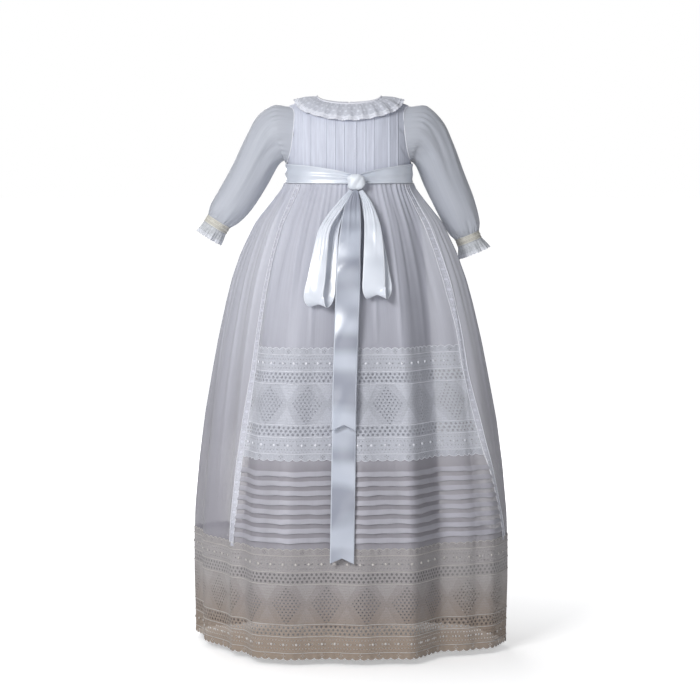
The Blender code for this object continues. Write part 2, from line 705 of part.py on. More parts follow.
def sleeve_ring(row, sign, columns, ripple=0.0, inset=0.0, along=0.0):
    """One ring of a sleeve, cuff or ruffle, whose axis leans away from upright."""
    x, y, z, half_width, half_depth, lean = row
    axis = np.array([sign * sin(radians(lean)), 0.0, -cos(radians(lean))])
    back = np.array([0.0, 1.0, 0.0])
    across = np.cross(axis, back)
    centre = np.array([x, y, z]) + axis * along
    ring = []
    for c in range(columns):
        angle = 2 * pi * c / columns
        push = ripple * (-1) ** c - inset
        ring.append(centre + across * (half_width + push) * cos(angle) + back * (half_depth + push) * sin(angle))
    return ring


def armhole_ring(sign, inset=0.0):
    """The sleeve's first ring, which follows the bodice's armhole a seam away."""
    ring = []
    middle = np.array([sign * CHEST_HALF_WIDTH, 0.0, (UNDERARM_Z + SHOULDER_TIP_Z) / 2])
    for c in range(SLEEVE_COLUMNS):
        angle = 2 * pi * c / SLEEVE_COLUMNS
        from_top = angle if sign > 0 else pi - angle
        side = 1 if sin(angle) > 0 else -1
        z = UNDERARM_Z + (SHOULDER_TIP_Z - UNDERARM_Z) * (1 + cos(from_top)) / 2
        y = side * ARMHOLE_HALF_DEPTH * abs(sin(angle)) ** 0.8
        point = np.array([x_at_depth(z, y, side, sign) + sign * ARMHOLE_SEAM, y, z])
        inside = (middle - point) * (0, 1, 1)
        ring.append(point + inside / np.linalg.norm(inside) * inset)
    return ring


def sleeve_grid(table, sign, inset=0.0):
    """The rings of a sleeve, with gathers at its head and above the cuff."""
    last = len(table) - 1
    grid = [armhole_ring(sign, inset)]
    for step in range(SLEEVE_RINGS + 1):
        at = last * step / SLEEVE_RINGS
        near_end = max(0.0, 1.0 - min(at / 1.4, (last - at) / 1.6))
        grid.append(sleeve_ring(smooth_curve(table, at), sign, SLEEVE_COLUMNS, SLEEVE_GATHER * near_end, inset))
    return np.array(grid)


def make_sleeve(side, table, sign):
    wall(f"sleeve_{side}", sleeve_grid(table, sign), sleeve_grid(table, sign, ORGANZA), "organza", wrap=True)
    end = np.array(table[-1], float)
    starts = (SEAM, SEAM + CUFF_LENGTH)
    cuff = [np.array([sleeve_ring(end, sign, SLEEVE_COLUMNS, 0.0, inset, along) for along in starts])
            for inset in (0.0, LACE)]
    wall(f"cuff_{side}", cuff[0], cuff[1], "cream_lace", wrap=True)
    flare = CUFF_FLARE[side]
    ruffle = []
    for inset in (0.0, LACE):
        rings = []
        for share in (0.0, 0.5, 1.0):
            row = end.copy()
            row[3:5] += flare * share
            rings.append(ruffle_ring(row, sign, share, inset, starts[1] + SEAM + CUFF_RUFFLE_LENGTH * share))
        ruffle.append(np.array(rings))
    wall(f"cuff_ruffle_{side}", ruffle[0], ruffle[1], "lace", wrap=True)


def ruffle_ring(row, sign, share, inset, along):
    """A ring of the cuff's ruffle, whose waves grow towards its edge."""
    columns = CUFF_WAVES * 4
    plain = sleeve_ring(row, sign, columns, 0.0, inset, along)
    centre = np.mean(plain, axis=0)
    ring = []
    for c, point in enumerate(plain):
        out = (point - centre) / np.linalg.norm(point - centre)
        ring.append(point + out * CUFF_WAVE * share * cos(pi / 2 * c))
    return ring


# Ribbon


def sash_stretch(name, start, end, columns, knot_end=None):
    """A stretch of sash round the waist between two turns, drawn together where it goes under the knot."""
    grid = np.zeros((SASH_ROWS + 1, columns + 1, 3))
    base = PINTUCK_RISE + SASH_EASE + SATIN
    for c in range(columns + 1):
        share = c / columns
        turn = start + (end - start) * share
        tight = 0.0 if knot_end is None else (share if knot_end == "end" else 1 - share) ** 3
        half = SASH_HALF * (1 - SASH_DRAWN * tight)
        middle = SASH_BOTTOM_Z + half
        for r in range(SASH_ROWS + 1):
            crease = SASH_CREASE * (0.4 + 0.6 * tight) * (1 + (-1) ** r)
            off = base + crease + SASH_LIFT * tight
            flat = oval(turn, CHEST_HALF_WIDTH + off, CHEST_FRONT + off, CHEST_BACK + off)
            grid[r, c] = (flat[0], flat[1], middle + half * (1 - 2 * r / SASH_ROWS))
    grid = pull_in(grid)
    wall(name, grid, grid - normals(grid) * SATIN, "satin")


def knot():
    """The knot: a pillow with a fold across its face, wrapped round the sash and the bow."""
    bm = bmesh.new()
    centre = np.array(KNOT_AT)
    rings = []
    for level, size in KNOT_SECTIONS:
        ring = []
        for c in range(KNOT_COLUMNS):
            turn = 360.0 * c / KNOT_COLUMNS
            flat = oval(turn, KNOT_HALF[0] * size, KNOT_HALF[1] * size, KNOT_HALF[1] * size)
            ring.append(bm.verts.new((centre + (flat[0], flat[1], level * KNOT_HALF[2])) * MM))
        rings.append(ring)
    for upper, lower in zip(rings, rings[1:]):
        for c in range(KNOT_COLUMNS):
            n = (c + 1) % KNOT_COLUMNS
            bm.faces.new((upper[c], lower[c], lower[n], upper[n]))
    bm.faces.new(rings[0])
    bm.faces.new(rings[-1][::-1])
    add_object("bow_knot", bm, "satin")


def ribbon(name, table, steps, notch=0.0):
    """A stretch of ribbon down a run of places, as a wall one ribbon thick, which curls a little across."""
    places = [smooth_curve(table, (len(table) - 1) * k / steps) for k in range(steps + 1)]
    middle = np.array([place[:3] for place in places])
    along = np.gradient(middle, axis=0)
    along /= np.linalg.norm(along, axis=1, keepdims=True)
    points = 3
    outer = np.zeros((steps + 1, points, 3))
    inner = np.zeros((steps + 1, points, 3))
    for r, place in enumerate(places):
        half, turn = place[3], radians(place[4])
        side = np.array([cos(turn), sin(turn), 0.0])
        side -= along[r] * np.dot(side, along[r])
        side /= np.linalg.norm(side)
        face = np.cross(along[r], side)
        for c in range(points):
            across = 2 * c / (points - 1) - 1
            point = middle[r] + side * half * across + face * RIBBON_CURL * (1 - across**2)
            if notch and r == steps:
                point = point - along[r] * notch * (1 - abs(across))
            outer[r, c] = point
            inner[r, c] = point - face * SATIN
    wall(name, outer, inner, "satin")


def make_bow():
    knot()
    ribbon("bow_loop_left", LEFT_LOOP, 24)
    ribbon("bow_loop_right", RIGHT_LOOP, 24)
    ribbon("tail_short", SHORT_TAIL, 16, TAIL_NOTCH)
    ribbon("tail_long", LONG_TAIL, 22, TAIL_NOTCH)


def make_sash():
    turn = KNOT_AT[0] / (CHEST_HALF_WIDTH * radians(1))
    sash_stretch("sash_left", -SIDE_TURN, turn - SASH_GAP_TURN, 14, "end")
    sash_stretch("sash_right", turn + SASH_GAP_TURN, SIDE_TURN, 12, "start")
    sash_stretch("sash_back", SIDE_TURN, 360.0 - SIDE_TURN, 20)


def main():
    clear_scene()
    make_bodice_front()
    make_bodice_back()
    make_buttons()
    make_collar()
    make_sleeve("left", LEFT_SLEEVE, -1)
    make_sleeve("right", RIGHT_SLEEVE, 1)
    make_skirt()
    make_underskirt()
    make_sash()
    make_bow()


main()
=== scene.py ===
"""The looks of a long lace gown for an infant: sheer organza, lace, a batiste slip and a satin bow.

The gown is filled out with no wearer. The front faces -Y, +X is to the right of someone who looks at the
front, and +Z is up. Sizes are in millimetres until a point is written to a mesh. Each cloth is one thin
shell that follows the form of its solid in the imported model, with the finer gathers, creases, tucks, cords
and scallops that show up close.
"""

import logging
from collections.abc import Callable, Sequence
from dataclasses import dataclass
from enum import Enum
from math import pi, radians

import bmesh
import bpy
import numpy as np
from mathutils import Matrix, Vector


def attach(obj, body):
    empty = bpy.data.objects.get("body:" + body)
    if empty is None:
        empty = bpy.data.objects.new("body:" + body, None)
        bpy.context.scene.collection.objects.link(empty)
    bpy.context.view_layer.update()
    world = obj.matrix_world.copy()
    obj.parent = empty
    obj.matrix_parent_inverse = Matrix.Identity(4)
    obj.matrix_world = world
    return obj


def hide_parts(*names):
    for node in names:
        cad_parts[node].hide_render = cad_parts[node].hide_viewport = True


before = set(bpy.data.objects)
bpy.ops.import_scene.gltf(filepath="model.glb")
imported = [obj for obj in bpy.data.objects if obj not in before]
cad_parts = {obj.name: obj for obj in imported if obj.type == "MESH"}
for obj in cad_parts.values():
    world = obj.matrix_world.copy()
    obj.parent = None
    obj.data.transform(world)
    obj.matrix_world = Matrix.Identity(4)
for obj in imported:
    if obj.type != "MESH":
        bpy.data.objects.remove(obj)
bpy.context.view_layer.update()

MM = 0.001
MERGE = 1e-6
FOLD_REACH = 1.5
CHEST_POWER = 2.6
SKIRT_CREASE_SCALE = 0.02
Array = np.ndarray
Colour = tuple[float, float, float]
log = logging.getLogger("lace_gown")

# How far the skirt has opened from the waist's oval to the hem's outline: height mm, share
SPREAD = (
    (-133, 0), (-141, 0.02), (-149, 0.07), (-165, 0.155), (-196, 0.325), (-245, 0.483), (-288, 0.583),
    (-327, 0.649), (-387, 0.735), (-434, 0.790), (-505, 0.868), (-585, 0.940), (-666, 0.990), (-716, 1),
    (-774, 1), (-830, 0.99), (-876, 0.985),
)

# The hem's outline seen from above: turn from the front middle towards +X in degrees, x mm, y mm
HEM_PLAN = (
    (-180, 0, 164), (-158, -90, 158), (-136, -168, 136), (-115, -224, 102), (-98, -254, 60), (-84, -240, 4),
    (-71, -212, -52), (-59, -190, -100), (-50, -166, -118), (-43, -148, -158), (-34, -114, -172),
    (-17, -58, -170), (0, -4, -173), (17, 50, -170), (31, 98, -170), (40, 122, -142), (48, 146, -110),
    (60, 190, -98), (73, 228, -84), (85, 248, -40), (98, 249, 8), (114, 224, 70), (135, 170, 118),
    (158, 92, 152), (180, 0, 164),
)

# Broad soft folds of the skirt: turn and half-width in degrees, depth mm (+ out), height where it starts mm
SKIRT_FOLDS = (
    (-150, 11, 9, -260), (-126, 9, -8, -300), (-106, 8, 7, -250), (-90, 7, -8, -280), (-77, 6, 6, -220),
    (-64, 5, -5, -300), (-38, 6, -4, -240), (-25, 6, 5, -200), (-8, 6, -5, -260), (8, 6, 5, -220),
    (24, 6, -4, -240), (56, 6, 6, -260), (68, 5, -5, -300), (92, 7, 6, -260), (108, 8, -8, -280),
    (126, 9, 8, -250), (147, 9, -8, -300), (168, 9, 8, -260),
)

# Narrow creases below the gathers: turn and height at the top, the same at the foot, half-width, depth mm
SKIRT_CREASES = (
    (-43, -140, -47, -420, 1.2, 2.2), (-37, -136, -42, -330, 0.9, -1.8), (-31, -138, -33, -372, 1.1, 2),
    (-26, -136, -29, -290, 0.8, -1.6), (-20, -137, -20, -380, 1.2, 2.3), (-15, -136, -14, -260, 0.9, -1.5),
    (-4, -140, -5, -300, 1, 1.4), (5, -140, 6, -340, 0.9, -1.3), (15, -136, 17, -385, 1.1, 2.1),
    (21, -136, 23, -300, 0.9, -1.7), (27, -138, 30, -380, 1.3, 2.4), (34, -136, 38, -310, 0.9, -1.6),
    (40, -137, 46, -384, 1.2, 2), (47, -136, 54, -330, 1, -1.6), (-55, -138, -60, -560, 1.3, 2.6),
    (-62, -136, -66, -400, 1, -2), (-70, -140, -71, -640, 1.5, 3), (-79, -136, -82, -470, 1.1, -2.2),
    (-88, -138, -87, -600, 1.4, 2.6), (-98, -136, -102, -420, 1.1, -2), (-112, -138, -113, -620, 1.6, 3.2),
    (-124, -136, -120, -450, 1.2, -2.4), (-138, -140, -140, -640, 1.7, 3),
    (-152, -136, -158, -430, 1.2, -2), (-165, -138, -166, -590, 1.5, 2.8),
    (-176, -136, -173, -400, 1.1, -2), (62, -138, 66, -520, 1.3, 2.6), (70, -136, 76, -390, 1, -2),
    (79, -140, 84, -640, 1.5, 3), (90, -136, 92, -450, 1.1, -2.2), (101, -138, 99, -600, 1.5, 2.8),
    (113, -136, 117, -430, 1.2, -2), (124, -138, 122, -630, 1.6, 3.1), (137, -136, 141, -420, 1.2, -2.2),
    (149, -138, 150, -600, 1.5, 2.7), (160, -136, 157, -380, 1.1, -2), (172, -140, 176, -560, 1.5, 2.6),
)

# The upright seams that bound the front panel: height mm, left turn, right turn in degrees
FRONT_SEAMS = (
    (-133, -46, 56), (-243, -48, 60), (-300, -49, 62), (-356, -50, 65), (-429, -51, 66), (-494, -53, 70),
    (-551, -54.5, 73), (-638, -56.5, 80), (-700, -58, 85), (-876, -58, 85),
)

# Folds of the slip that show through the organza: turn, half-width, depth mm, height where it starts mm
SLIP_FOLDS = (
    (-58, 5, 6, -240), (-44, 4, -5, -220), (-31, 5, 6, -200), (-22, 4, -7, -180), (-9, 5, 4, -260),
    (9, 5, 6, -200), (19, 5, 6, -220), (31, 4, -7, -200), (43, 5, 5, -240), (60, 5, -6, -260),
    (84, 7, 6, -260), (110, 8, -6, -240), (140, 8, 6, -260), (170, 8, -6, -240), (-160, 8, 6, -260),
    (-130, 8, -6, -240), (-100, 7, 6, -260), (-78, 6, -6, -240),
)

# Upright pintucks of the bodice, mm from its middle
PINTUCKS = (-74.0, -61.0, -36.0, -22.0, -8.0, 11.0, 26.0, 39.0, 64.0, 77.0)
LACED_PINTUCK = 11.0

# Creases of the bodice: x at the start, z there, x at the end, z there, half-width mm, depth mm
BODICE_CREASES = (
    (-97, -62, -78, -46, 3.2, -1.5), (-96, -98, -82, -74, 3, -1.4), (-94, -30, -84, -44, 3, 1),
    (-90, -112, -60, -104, 4, 0.9), (97, -58, 80, -44, 3.2, -1.4), (96, -95, 83, -72, 3, -1.4),
    (92, -28, 84, -42, 3, 1), (90, -112, 62, -103, 4, 0.9), (-50, -60, -46, -108, 3, -0.7),
    (52, -56, 48, -104, 3, -0.7),
)

# Sleeve sections past the armhole: centre x, y, z, half-width, half-depth, lean of the axis in degrees
LEFT_SLEEVE = (
    (-112, 1, -54, 46.5, 40, 78), (-125, 3, -61, 42, 39, 58), (-140, 5, -82, 35, 36, 42),
    (-160, 7, -121, 32.5, 33, 34), (-182, 8, -158, 31, 31, 32), (-200, 8, -182, 27.5, 28, 32),
    (-210, 8, -194.5, 20.5, 21.5, 32),
)
RIGHT_SLEEVE = (
    (112, 4, -55, 46.5, 40, 74), (125, 9, -66, 41.5, 39, 50), (138.5, 15, -88, 35.5, 36, 32),
    (154, 22, -127, 34, 33, 22), (173, 27, -170, 32, 32, 22), (186.5, 29, -204, 27.5, 28, 22),
    (191.5, 29, -218, 20.5, 21.5, 22),
)

# Creases of a sleeve: turn from its outer edge and section, the same at the end, half-width, depth mm
SLEEVE_CREASES = (
    (30, 0.2, 42, 3.4, 7, 2), (62, 0.1, 70, 2.6, 7, -1.8), (88, 0.2, 84, 3.9, 8, 1.9),
    (118, 0.3, 100, 2.4, 7, -1.7), (150, 0.8, 118, 3, 9, 1.9), (175, 1, 150, 2.2, 8, -1.8),
    (40, 6, 52, 4.2, 8, 1.6), (78, 6, 74, 4.6, 7, -1.5), (108, 6, 104, 4.4, 8, 1.6),
    (140, 6, 136, 4.8, 8, -1.4), (-30, 0.2, -44, 3, 8, 1.8), (-68, 0.2, -70, 2.6, 7, -1.7),
    (-100, 0.3, -96, 3.8, 8, 1.9), (-140, 0.8, -122, 3, 8, -1.8), (-40, 6, -50, 4.4, 8, -1.4),
    (-92, 6, -88, 4.4, 8, 1.6), (6, 0.1, 4, 2, 6, -1.2), (195, 1.2, 190, 3.2, 9, 1.5),
)

# Ribbon stretches: middle x, y, z, half-width, turn of its face in degrees
LEFT_LOOP = (
    (3.5, -91.5, -143.6, 3.5, 0), (-14, -106, -166, 7, -8), (-37, -128, -200, 9, -12),
    (-45, -143, -240, 12, -10), (-51, -152, -280, 14.5, -8), (-55, -155, -307, 15.5, -6),
    (-47, -149, -318, 15.5, -4), (-38, -142, -306, 15.5, -2), (-34, -137, -280, 14, -4),
    (-30, -127, -240, 12, -6), (-24, -114, -200, 9.5, -8), (-11, -99, -168, 7, -6),
    (3.5, -86.5, -143.6, 3.5, 0),
)
RIGHT_LOOP = (
    (18.5, -91.5, -143.6, 3.5, 0), (30, -106, -166, 8, 6), (37, -126, -200, 13, 6), (39, -142, -240, 16, 5),
    (39, -151, -274, 17.5, 4), (39, -153, -294, 18, 4), (44, -149, -303, 18, 4), (49, -143, -294, 18, 4),
    (47, -138, -274, 17, 4), (43, -128, -240, 15, 5), (37, -114, -200, 12, 6), (28, -99, -168, 8, 6),
    (18.5, -86.5, -143.6, 3.5, 0),
)
SHORT_TAIL = (
    (11, -92, -142.8, 4, 0), (6, -108, -166, 12, 4), (3, -127, -200, 16, 5), (0, -141, -240, 18, -4),
    (-1, -151, -280, 19, 5), (-3, -157, -330, 19, -5), (-5, -164, -392, 19, 5), (-7, -171, -452, 19, -4),
    (-8, -177, -514, 19, 3),
)
LONG_TAIL = (
    (11, -84.5, -142.8, 4, 0), (9, -95, -166, 10, -3), (5, -110.5, -198, 14, 3), (1, -127, -240, 17, -4),
    (-1, -138, -288, 19, 4), (-3, -146, -340, 19, -4), (-5, -155, -400, 19, 4), (-7, -163, -470, 19, -4),
    (-8, -170, -540, 19, 4), (-9, -177, -600, 19, -4), (-10, -181, -664, 19, 4), (-11, -184, -722, 19, -3),
)

# Creases of the ribbon: place across and share of the way down, the same at the end, half-width, depth mm
RIBBON_CREASES = {
    "bow_loop_left": (
        (-0.7, 0.02, -0.1, 0.26, 0.12, 1.0), (0.5, 0.04, 0.7, 0.22, 0.12, -0.9),
        (-0.9, 0.3, 0.3, 0.42, 0.14, -0.8),
    ),
    "bow_loop_right": (
        (0.6, 0.02, 0.1, 0.24, 0.12, 1.0), (-0.6, 0.05, -0.7, 0.2, 0.12, -0.8),
        (-0.9, 0.16, 0.8, 0.27, 0.13, -1.1),
    ),
    "tail_short": (
        (-0.5, 0.02, -0.1, 0.3, 0.12, 1.1), (0.4, 0.02, 0.6, 0.24, 0.12, -1.0),
        (-1.1, 0.34, 1.1, 0.24, 0.16, -1.8), (-1.1, 0.45, 1.1, 0.42, 0.18, 1.6),
        (-1.1, 0.56, 1.1, 0.60, 0.16, -1.5), (-1.1, 0.70, 1.1, 0.66, 0.18, 1.6),
        (-1.1, 0.82, 1.1, 0.84, 0.16, -1.5), (-1.1, 0.93, 1.1, 0.90, 0.16, 1.4),
    ),
    "tail_long": (
        (0.0, 0.02, 0.2, 0.2, 0.12, 0.8), (-1.1, 0.66, 1.1, 0.68, 0.16, -1.7),
        (-1.1, 0.74, 1.1, 0.71, 0.17, 1.8), (-1.1, 0.81, 1.1, 0.83, 0.16, -1.7),
        (-1.1, 0.89, 1.1, 0.86, 0.17, 1.6), (-1.1, 0.95, 1.1, 0.96, 0.14, -1.2),
    ),
}


def read_table(rows: Sequence[Sequence[float]], at: Array, column: int, soften: float = 0.0) -> Array:
    """Read one column of a table at places along its first column.

    Args:
        rows: The table, in rising or falling order of its first column.
        at: The places to read.
        column: Which column to read.
        soften: How far each side of a place is averaged in, which rounds the corners.

    Returns:
        The values, with straight lines between the rows.
    """
    keys = np.array([row[0] for row in rows], float)
    values = np.array([row[column] for row in rows], float)
    if keys[0] > keys[-1]:
        keys, values = keys[::-1], values[::-1]
    if not soften:
        return np.interp(at, keys, values)
    parts = ((-1.0, 0.25), (0.0, 0.5), (1.0, 0.25))
    return sum(weight * np.interp(at + soften * step, keys, values) for step, weight in parts)


def smooth_through(values: Array, at: Array) -> Array:
    """Follow a Catmull-Rom curve through rows of values.

    Args:
        values: One row for each control, of any shape.
        at: Row numbers that may lie between rows.

    Returns:
        One row for each place asked for.
    """
    last = len(values) - 1
    at = np.clip(at, 0.0, last)
    low = np.minimum(at.astype(int), last - 1)
    t = (at - low).reshape(at.shape + (1,) * (values.ndim - 1))
    p0, p1, p2, p3 = (values[np.clip(low + step, 0, last)] for step in (-1, 0, 1, 2))
    square = (2 * p0 - 5 * p1 + 4 * p2 - p3) * t**2
    cube = (3 * (p1 - p2) + p3 - p0) * t**3
    return 0.5 * (2 * p1 + (p2 - p0) * t + square + cube)


def oval(turn: Array, half_width: Array, half_front: Array, half_back: Array) -> tuple[Array, Array]:
    """A rounded section seen from above, at turns in degrees from the front middle; returns its x and y."""
    s, c = np.sin(np.radians(turn)), np.cos(np.radians(turn))
    k = (np.abs(s) ** CHEST_POWER + np.abs(c) ** CHEST_POWER) ** (-1 / CHEST_POWER)
    return half_width * s * k, -np.where(c > 0, half_front, half_back) * c * k


def unit(vectors: Array) -> Array:
    """The same directions, one long."""
    return vectors / np.maximum(np.linalg.norm(vectors, axis=-1, keepdims=True), 1e-9)


def outward(points: Array, wrap: bool = False) -> Array:
    """The outward direction at each point of a grid: rows run down, columns towards +X at the front."""
    down = np.gradient(points, axis=0)
    across = np.gradient(points, axis=1)
    if wrap:
        ends = (points[:, 1] - points[:, -2]) / 2
        across[:, 0] = ends
        across[:, -1] = ends
    return unit(np.cross(down, across))


def even_out(grid: Array, reach: int, passes: int = 3) -> Array:
    """Average a grid of directions along its rows, over a reach of columns each side."""
    for _ in range(passes):
        before, after = grid[:, :1].repeat(reach, axis=1), grid[:, -1:].repeat(reach, axis=1)
        padded = np.concatenate([before, grid, after], axis=1)
        total = np.cumsum(np.concatenate([padded[:, :1] * 0, padded], axis=1), axis=1)
        width = 2 * reach + 1
        grid = (total[:, width:] - total[:, :-width]) / width
    return unit(grid)


def steady_outward(points: Array, wrap: bool = False) -> Array:
    """The outward directions, with those of the first and last row taken from the rows beside them."""
    out = outward(points, wrap)
    out[0], out[-1] = out[1], out[-2]
    return out


def share_grid(columns: int, rows: int) -> tuple[Array, Array]:
    """The shares across and down at each point of a grid."""
    return np.meshgrid(np.linspace(0.0, 1.0, columns + 1), np.linspace(0.0, 1.0, rows + 1))


def wrapped(turn: Array) -> Array:
    """The same turns, from -180 to 180 degrees."""
    return (turn + 180.0) % 360.0 - 180.0


def run_length(points: Array) -> Array:
    """Distance along a run of points from its first, mm."""
    steps = np.linalg.norm(np.diff(points, axis=0), axis=1)
    return np.concatenate([[0.0], np.cumsum(steps)])


@dataclass(frozen=True)
class Crease:
    """A soft trough or ridge between two places of a cloth, in the cloth's own two measures.

    Attributes:
        a0, b0: Where it starts.
        a1, b1: Where it ends.
        half: Half-width in the first measure.
        depth: How far it stands out at its middle, mm, or in if less than nothing.
        scale: How much of the first measure one of the second counts for.
    """

    a0: float
    b0: float
    a1: float
    b1: float
    half: float
    depth: float
    scale: float = 1.0

    def height(self, a: Array, b: Array) -> Array:
        """How far the crease pushes the cloth out at the places a, b."""
        run_a, run_b = self.a1 - self.a0, (self.b1 - self.b0) * self.scale
        off_a, off_b = a - self.a0, (b - self.b0) * self.scale
        along = np.clip((off_a * run_a + off_b * run_b) / (run_a**2 + run_b**2), 0.0, 1.0)
        far = np.hypot(off_a - run_a * along, off_b - run_b * along)
        fade = np.sin(pi * np.clip(along * 0.9 + 0.06, 0.0, 1.0)) ** 0.8
        return self.depth * fade * np.exp(-((far / self.half) ** 2))


def crease_heights(rows: Sequence[Sequence[float]], a: Array, b: Array, scale: float = 1.0) -> Array:
    """All the creases of a table together, at the places a, b."""
    return sum(Crease(*row, scale).height(a, b) for row in rows)


def fold_heights(rows: Sequence[Sequence[float]], turn: Array, z: Array, grows_over: float) -> Array:
    """How far a table of broad folds pushes a cloth out.

    Args:
        rows: The folds.
        turn: Degrees from the front middle.
        z: Height.
        grows_over: How far below its start a fold is full, mm.

    Returns:
        The heights, mm.
    """
    total = np.zeros(np.broadcast(turn, z).shape)
    for middle, half, depth, start in rows:
        off = np.minimum(np.abs(wrapped(turn - middle)) / half, FOLD_REACH)
        grow = np.clip((start - z) / grows_over, 0.0, 1.0)
        total = total + depth * grow * np.cos(off / FOLD_REACH * pi / 2) ** 2
    return total


def math_method(operation: str, flip: bool = False) -> Callable[..., "Field"]:
    """A method that adds one Math node on a number and any others; flip puts the number itself last."""

    def method(self: "Field", *others: "Field | float") -> "Field":
        """One Math node on this number and any others."""
        return self.math(operation, *others, flip=flip)

    return method


class Field:
    """A number that varies over a surface. Python's operators on it add Math nodes."""

    def __init__(self, recipe: "Recipe", socket: bpy.types.NodeSocket) -> None:
        """Wrap a node's output socket."""
        self.recipe = recipe
        self.socket = socket

    def math(
        self, operation: str, *others: "Field | float", flip: bool = False, clamp: bool = False,
    ) -> "Field":
        """One Math node on this number and others.

        Args:
            operation: The Math node's operation.
            others: The other operands.
            flip: Whether this number comes last.
            clamp: Whether the result is held between 0 and 1.

        Returns:
            The node's result.
        """
        operands = [self, *others]
        if flip:
            operands.reverse()
        settings = {"operation": operation, "use_clamp": clamp}
        made = self.recipe.node("ShaderNodeMath", settings, dict(enumerate(operands)))
        return Field(self.recipe, made.outputs[0])

    __add__ = __radd__ = math_method("ADD")
    __sub__ = math_method("SUBTRACT")
    __rsub__ = math_method("SUBTRACT", flip=True)
    __mul__ = __rmul__ = math_method("MULTIPLY")
    __truediv__ = math_method("DIVIDE")
    __mod__ = math_method("FLOORED_MODULO")
    __abs__ = math_method("ABSOLUTE")
    floor = math_method("FLOOR")
    sine = math_method("SINE")
    root = math_method("SQRT")
    below = math_method("LESS_THAN")

    def capped(self) -> "Field":
        """The number, or 1 where it is more."""
        return self.math("MINIMUM", 1.0)

    def held(self) -> "Field":
        """The number, held between 0 and 1."""
        return self.math("MINIMUM", 1.0, clamp=True)

    def ramp(self, low: float, high: float) -> "Field":
        """0 at low and 1 at high, with a smooth step between; high may lie below low."""
        flipped = low > high
        sockets = {0: self, 1: min(low, high), 2: max(low, high)}
        made = self.recipe.node("ShaderNodeMapRange", {"interpolation_type": "SMOOTHSTEP"}, sockets)
        step = Field(self.recipe, made.outputs[0])
        return 1.0 - step if flipped else step


class Nodes:
    """A node tree that is built in code."""

    def __init__(self, tree: bpy.types.NodeTree) -> None:
        """Work on this tree."""
        self.tree = tree

    def node(self, kind: str, settings: dict | None = None, sockets: dict | None = None) -> bpy.types.Node:
        """Add a node.

        Args:
            kind: The node's type.
            settings: Its own settings, which are set first.
            sockets: A plain value, or a Field or socket to link, for each input by name or number.

        Returns:
            The node.
        """
        made = self.tree.nodes.new(kind)
        for key, value in (settings or {}).items():
            setattr(made, key, value)
        for key, value in (sockets or {}).items():
            self.feed(made.inputs[key], value)
        return made

    def feed(self, socket: bpy.types.NodeSocket, value: object) -> None:
        """Link a Field or socket into an input, or set a plain value on it."""
        if isinstance(value, Field):
            value = value.socket
        if isinstance(value, bpy.types.NodeSocket):
            self.tree.links.new(value, socket)
        else:
            socket.default_value = value


class Recipe(Nodes):
    """The nodes of one finish."""

    def __init__(self, name: str) -> None:
        """Start a material of this name with its Principled shader."""
        self.material = bpy.data.materials.new(name)
        self.material.use_nodes = True
        super().__init__(self.material.node_tree)
        self.shader = self.tree.nodes["Principled BSDF"]

    def flat(self) -> tuple[Field, Field]:
        """The place on the flat cloth, across and down, mm."""
        place = self.node("ShaderNodeUVMap", {"uv_map": "flat"}).outputs[0]
        split = self.node("ShaderNodeSeparateXYZ", None, {0: place})
        return Field(self, split.outputs[0]) * 1000.0, Field(self, split.outputs[1]) * 1000.0

    def measure(self, name: str) -> Field:
        """A number that the mesh holds at each of its points."""
        return Field(self, self.node("ShaderNodeAttribute", {"attribute_name": name}).outputs["Fac"])

    def noise(self, across: Field, down: Field, detail: float = 2.0) -> Field:
        """Soft random variation from 0 to 1 on a place of two measures, one unit to a blotch."""
        place = self.node("ShaderNodeCombineXYZ", None, {0: across, 1: down})
        sockets = {"Vector": place.outputs[0], "Scale": 1.0, "Detail": detail, "Roughness": 0.55}
        return Field(self, self.node("ShaderNodeTexNoise", None, sockets).outputs[0])

    def mix(self, share: Field | float, first: object, second: object) -> bpy.types.NodeSocket:
        """A colour between two, each a socket or four numbers, by a share."""
        return self.node("ShaderNodeMix", {"data_type": "RGBA"}, {0: share, 6: first, 7: second}).outputs[2]

    def blend(self, share: Field | float, first: Colour, second: Colour) -> bpy.types.NodeSocket:
        """A colour between two plain ones, by a share."""
        return self.mix(share, (*first, 1.0), (*second, 1.0))

    def relief(self, height: Field, depth: float, strength: float = 1.0) -> None:
        """Let a height from 0 to 1 stand up by a depth in mm, as bump."""
        sockets = {"Height": height, "Distance": depth * MM, "Strength": strength}
        self.feed(self.shader.inputs["Normal"], self.node("ShaderNodeBump", None, sockets).outputs[0])

    def dress(self, **values: object) -> bpy.types.Material:
        """Give the shader's sockets their values and hand over the material."""
        for key, value in values.items():
            self.feed(self.shader.inputs[key.replace("_", " ")], value)
        return self.material


def centred(value: Field, pitch: float) -> Field:
    """How far a place is from the nearest middle of a pattern that repeats."""
    return (value + pitch / 2) % pitch - pitch / 2


def staggered(across: Field, down: Field, pitch: float, row: float) -> tuple[Field, Field]:
    """The same, in two measures, of a pattern whose odd rows are shifted by half its pitch."""
    shift = (down / row).floor() % 2.0 * (pitch / 2)
    return (across + shift) % pitch - pitch / 2, down % row - row / 2


def holes(across: Field, down: Field, pitch: float, row: float, radius: float) -> Field:
    """Round holes in staggered rows: 1 inside a hole, else 0."""
    x, y = staggered(across, down, pitch, row)
    return (x * x + y * y).root().ramp(radius + 0.25, radius - 0.35)


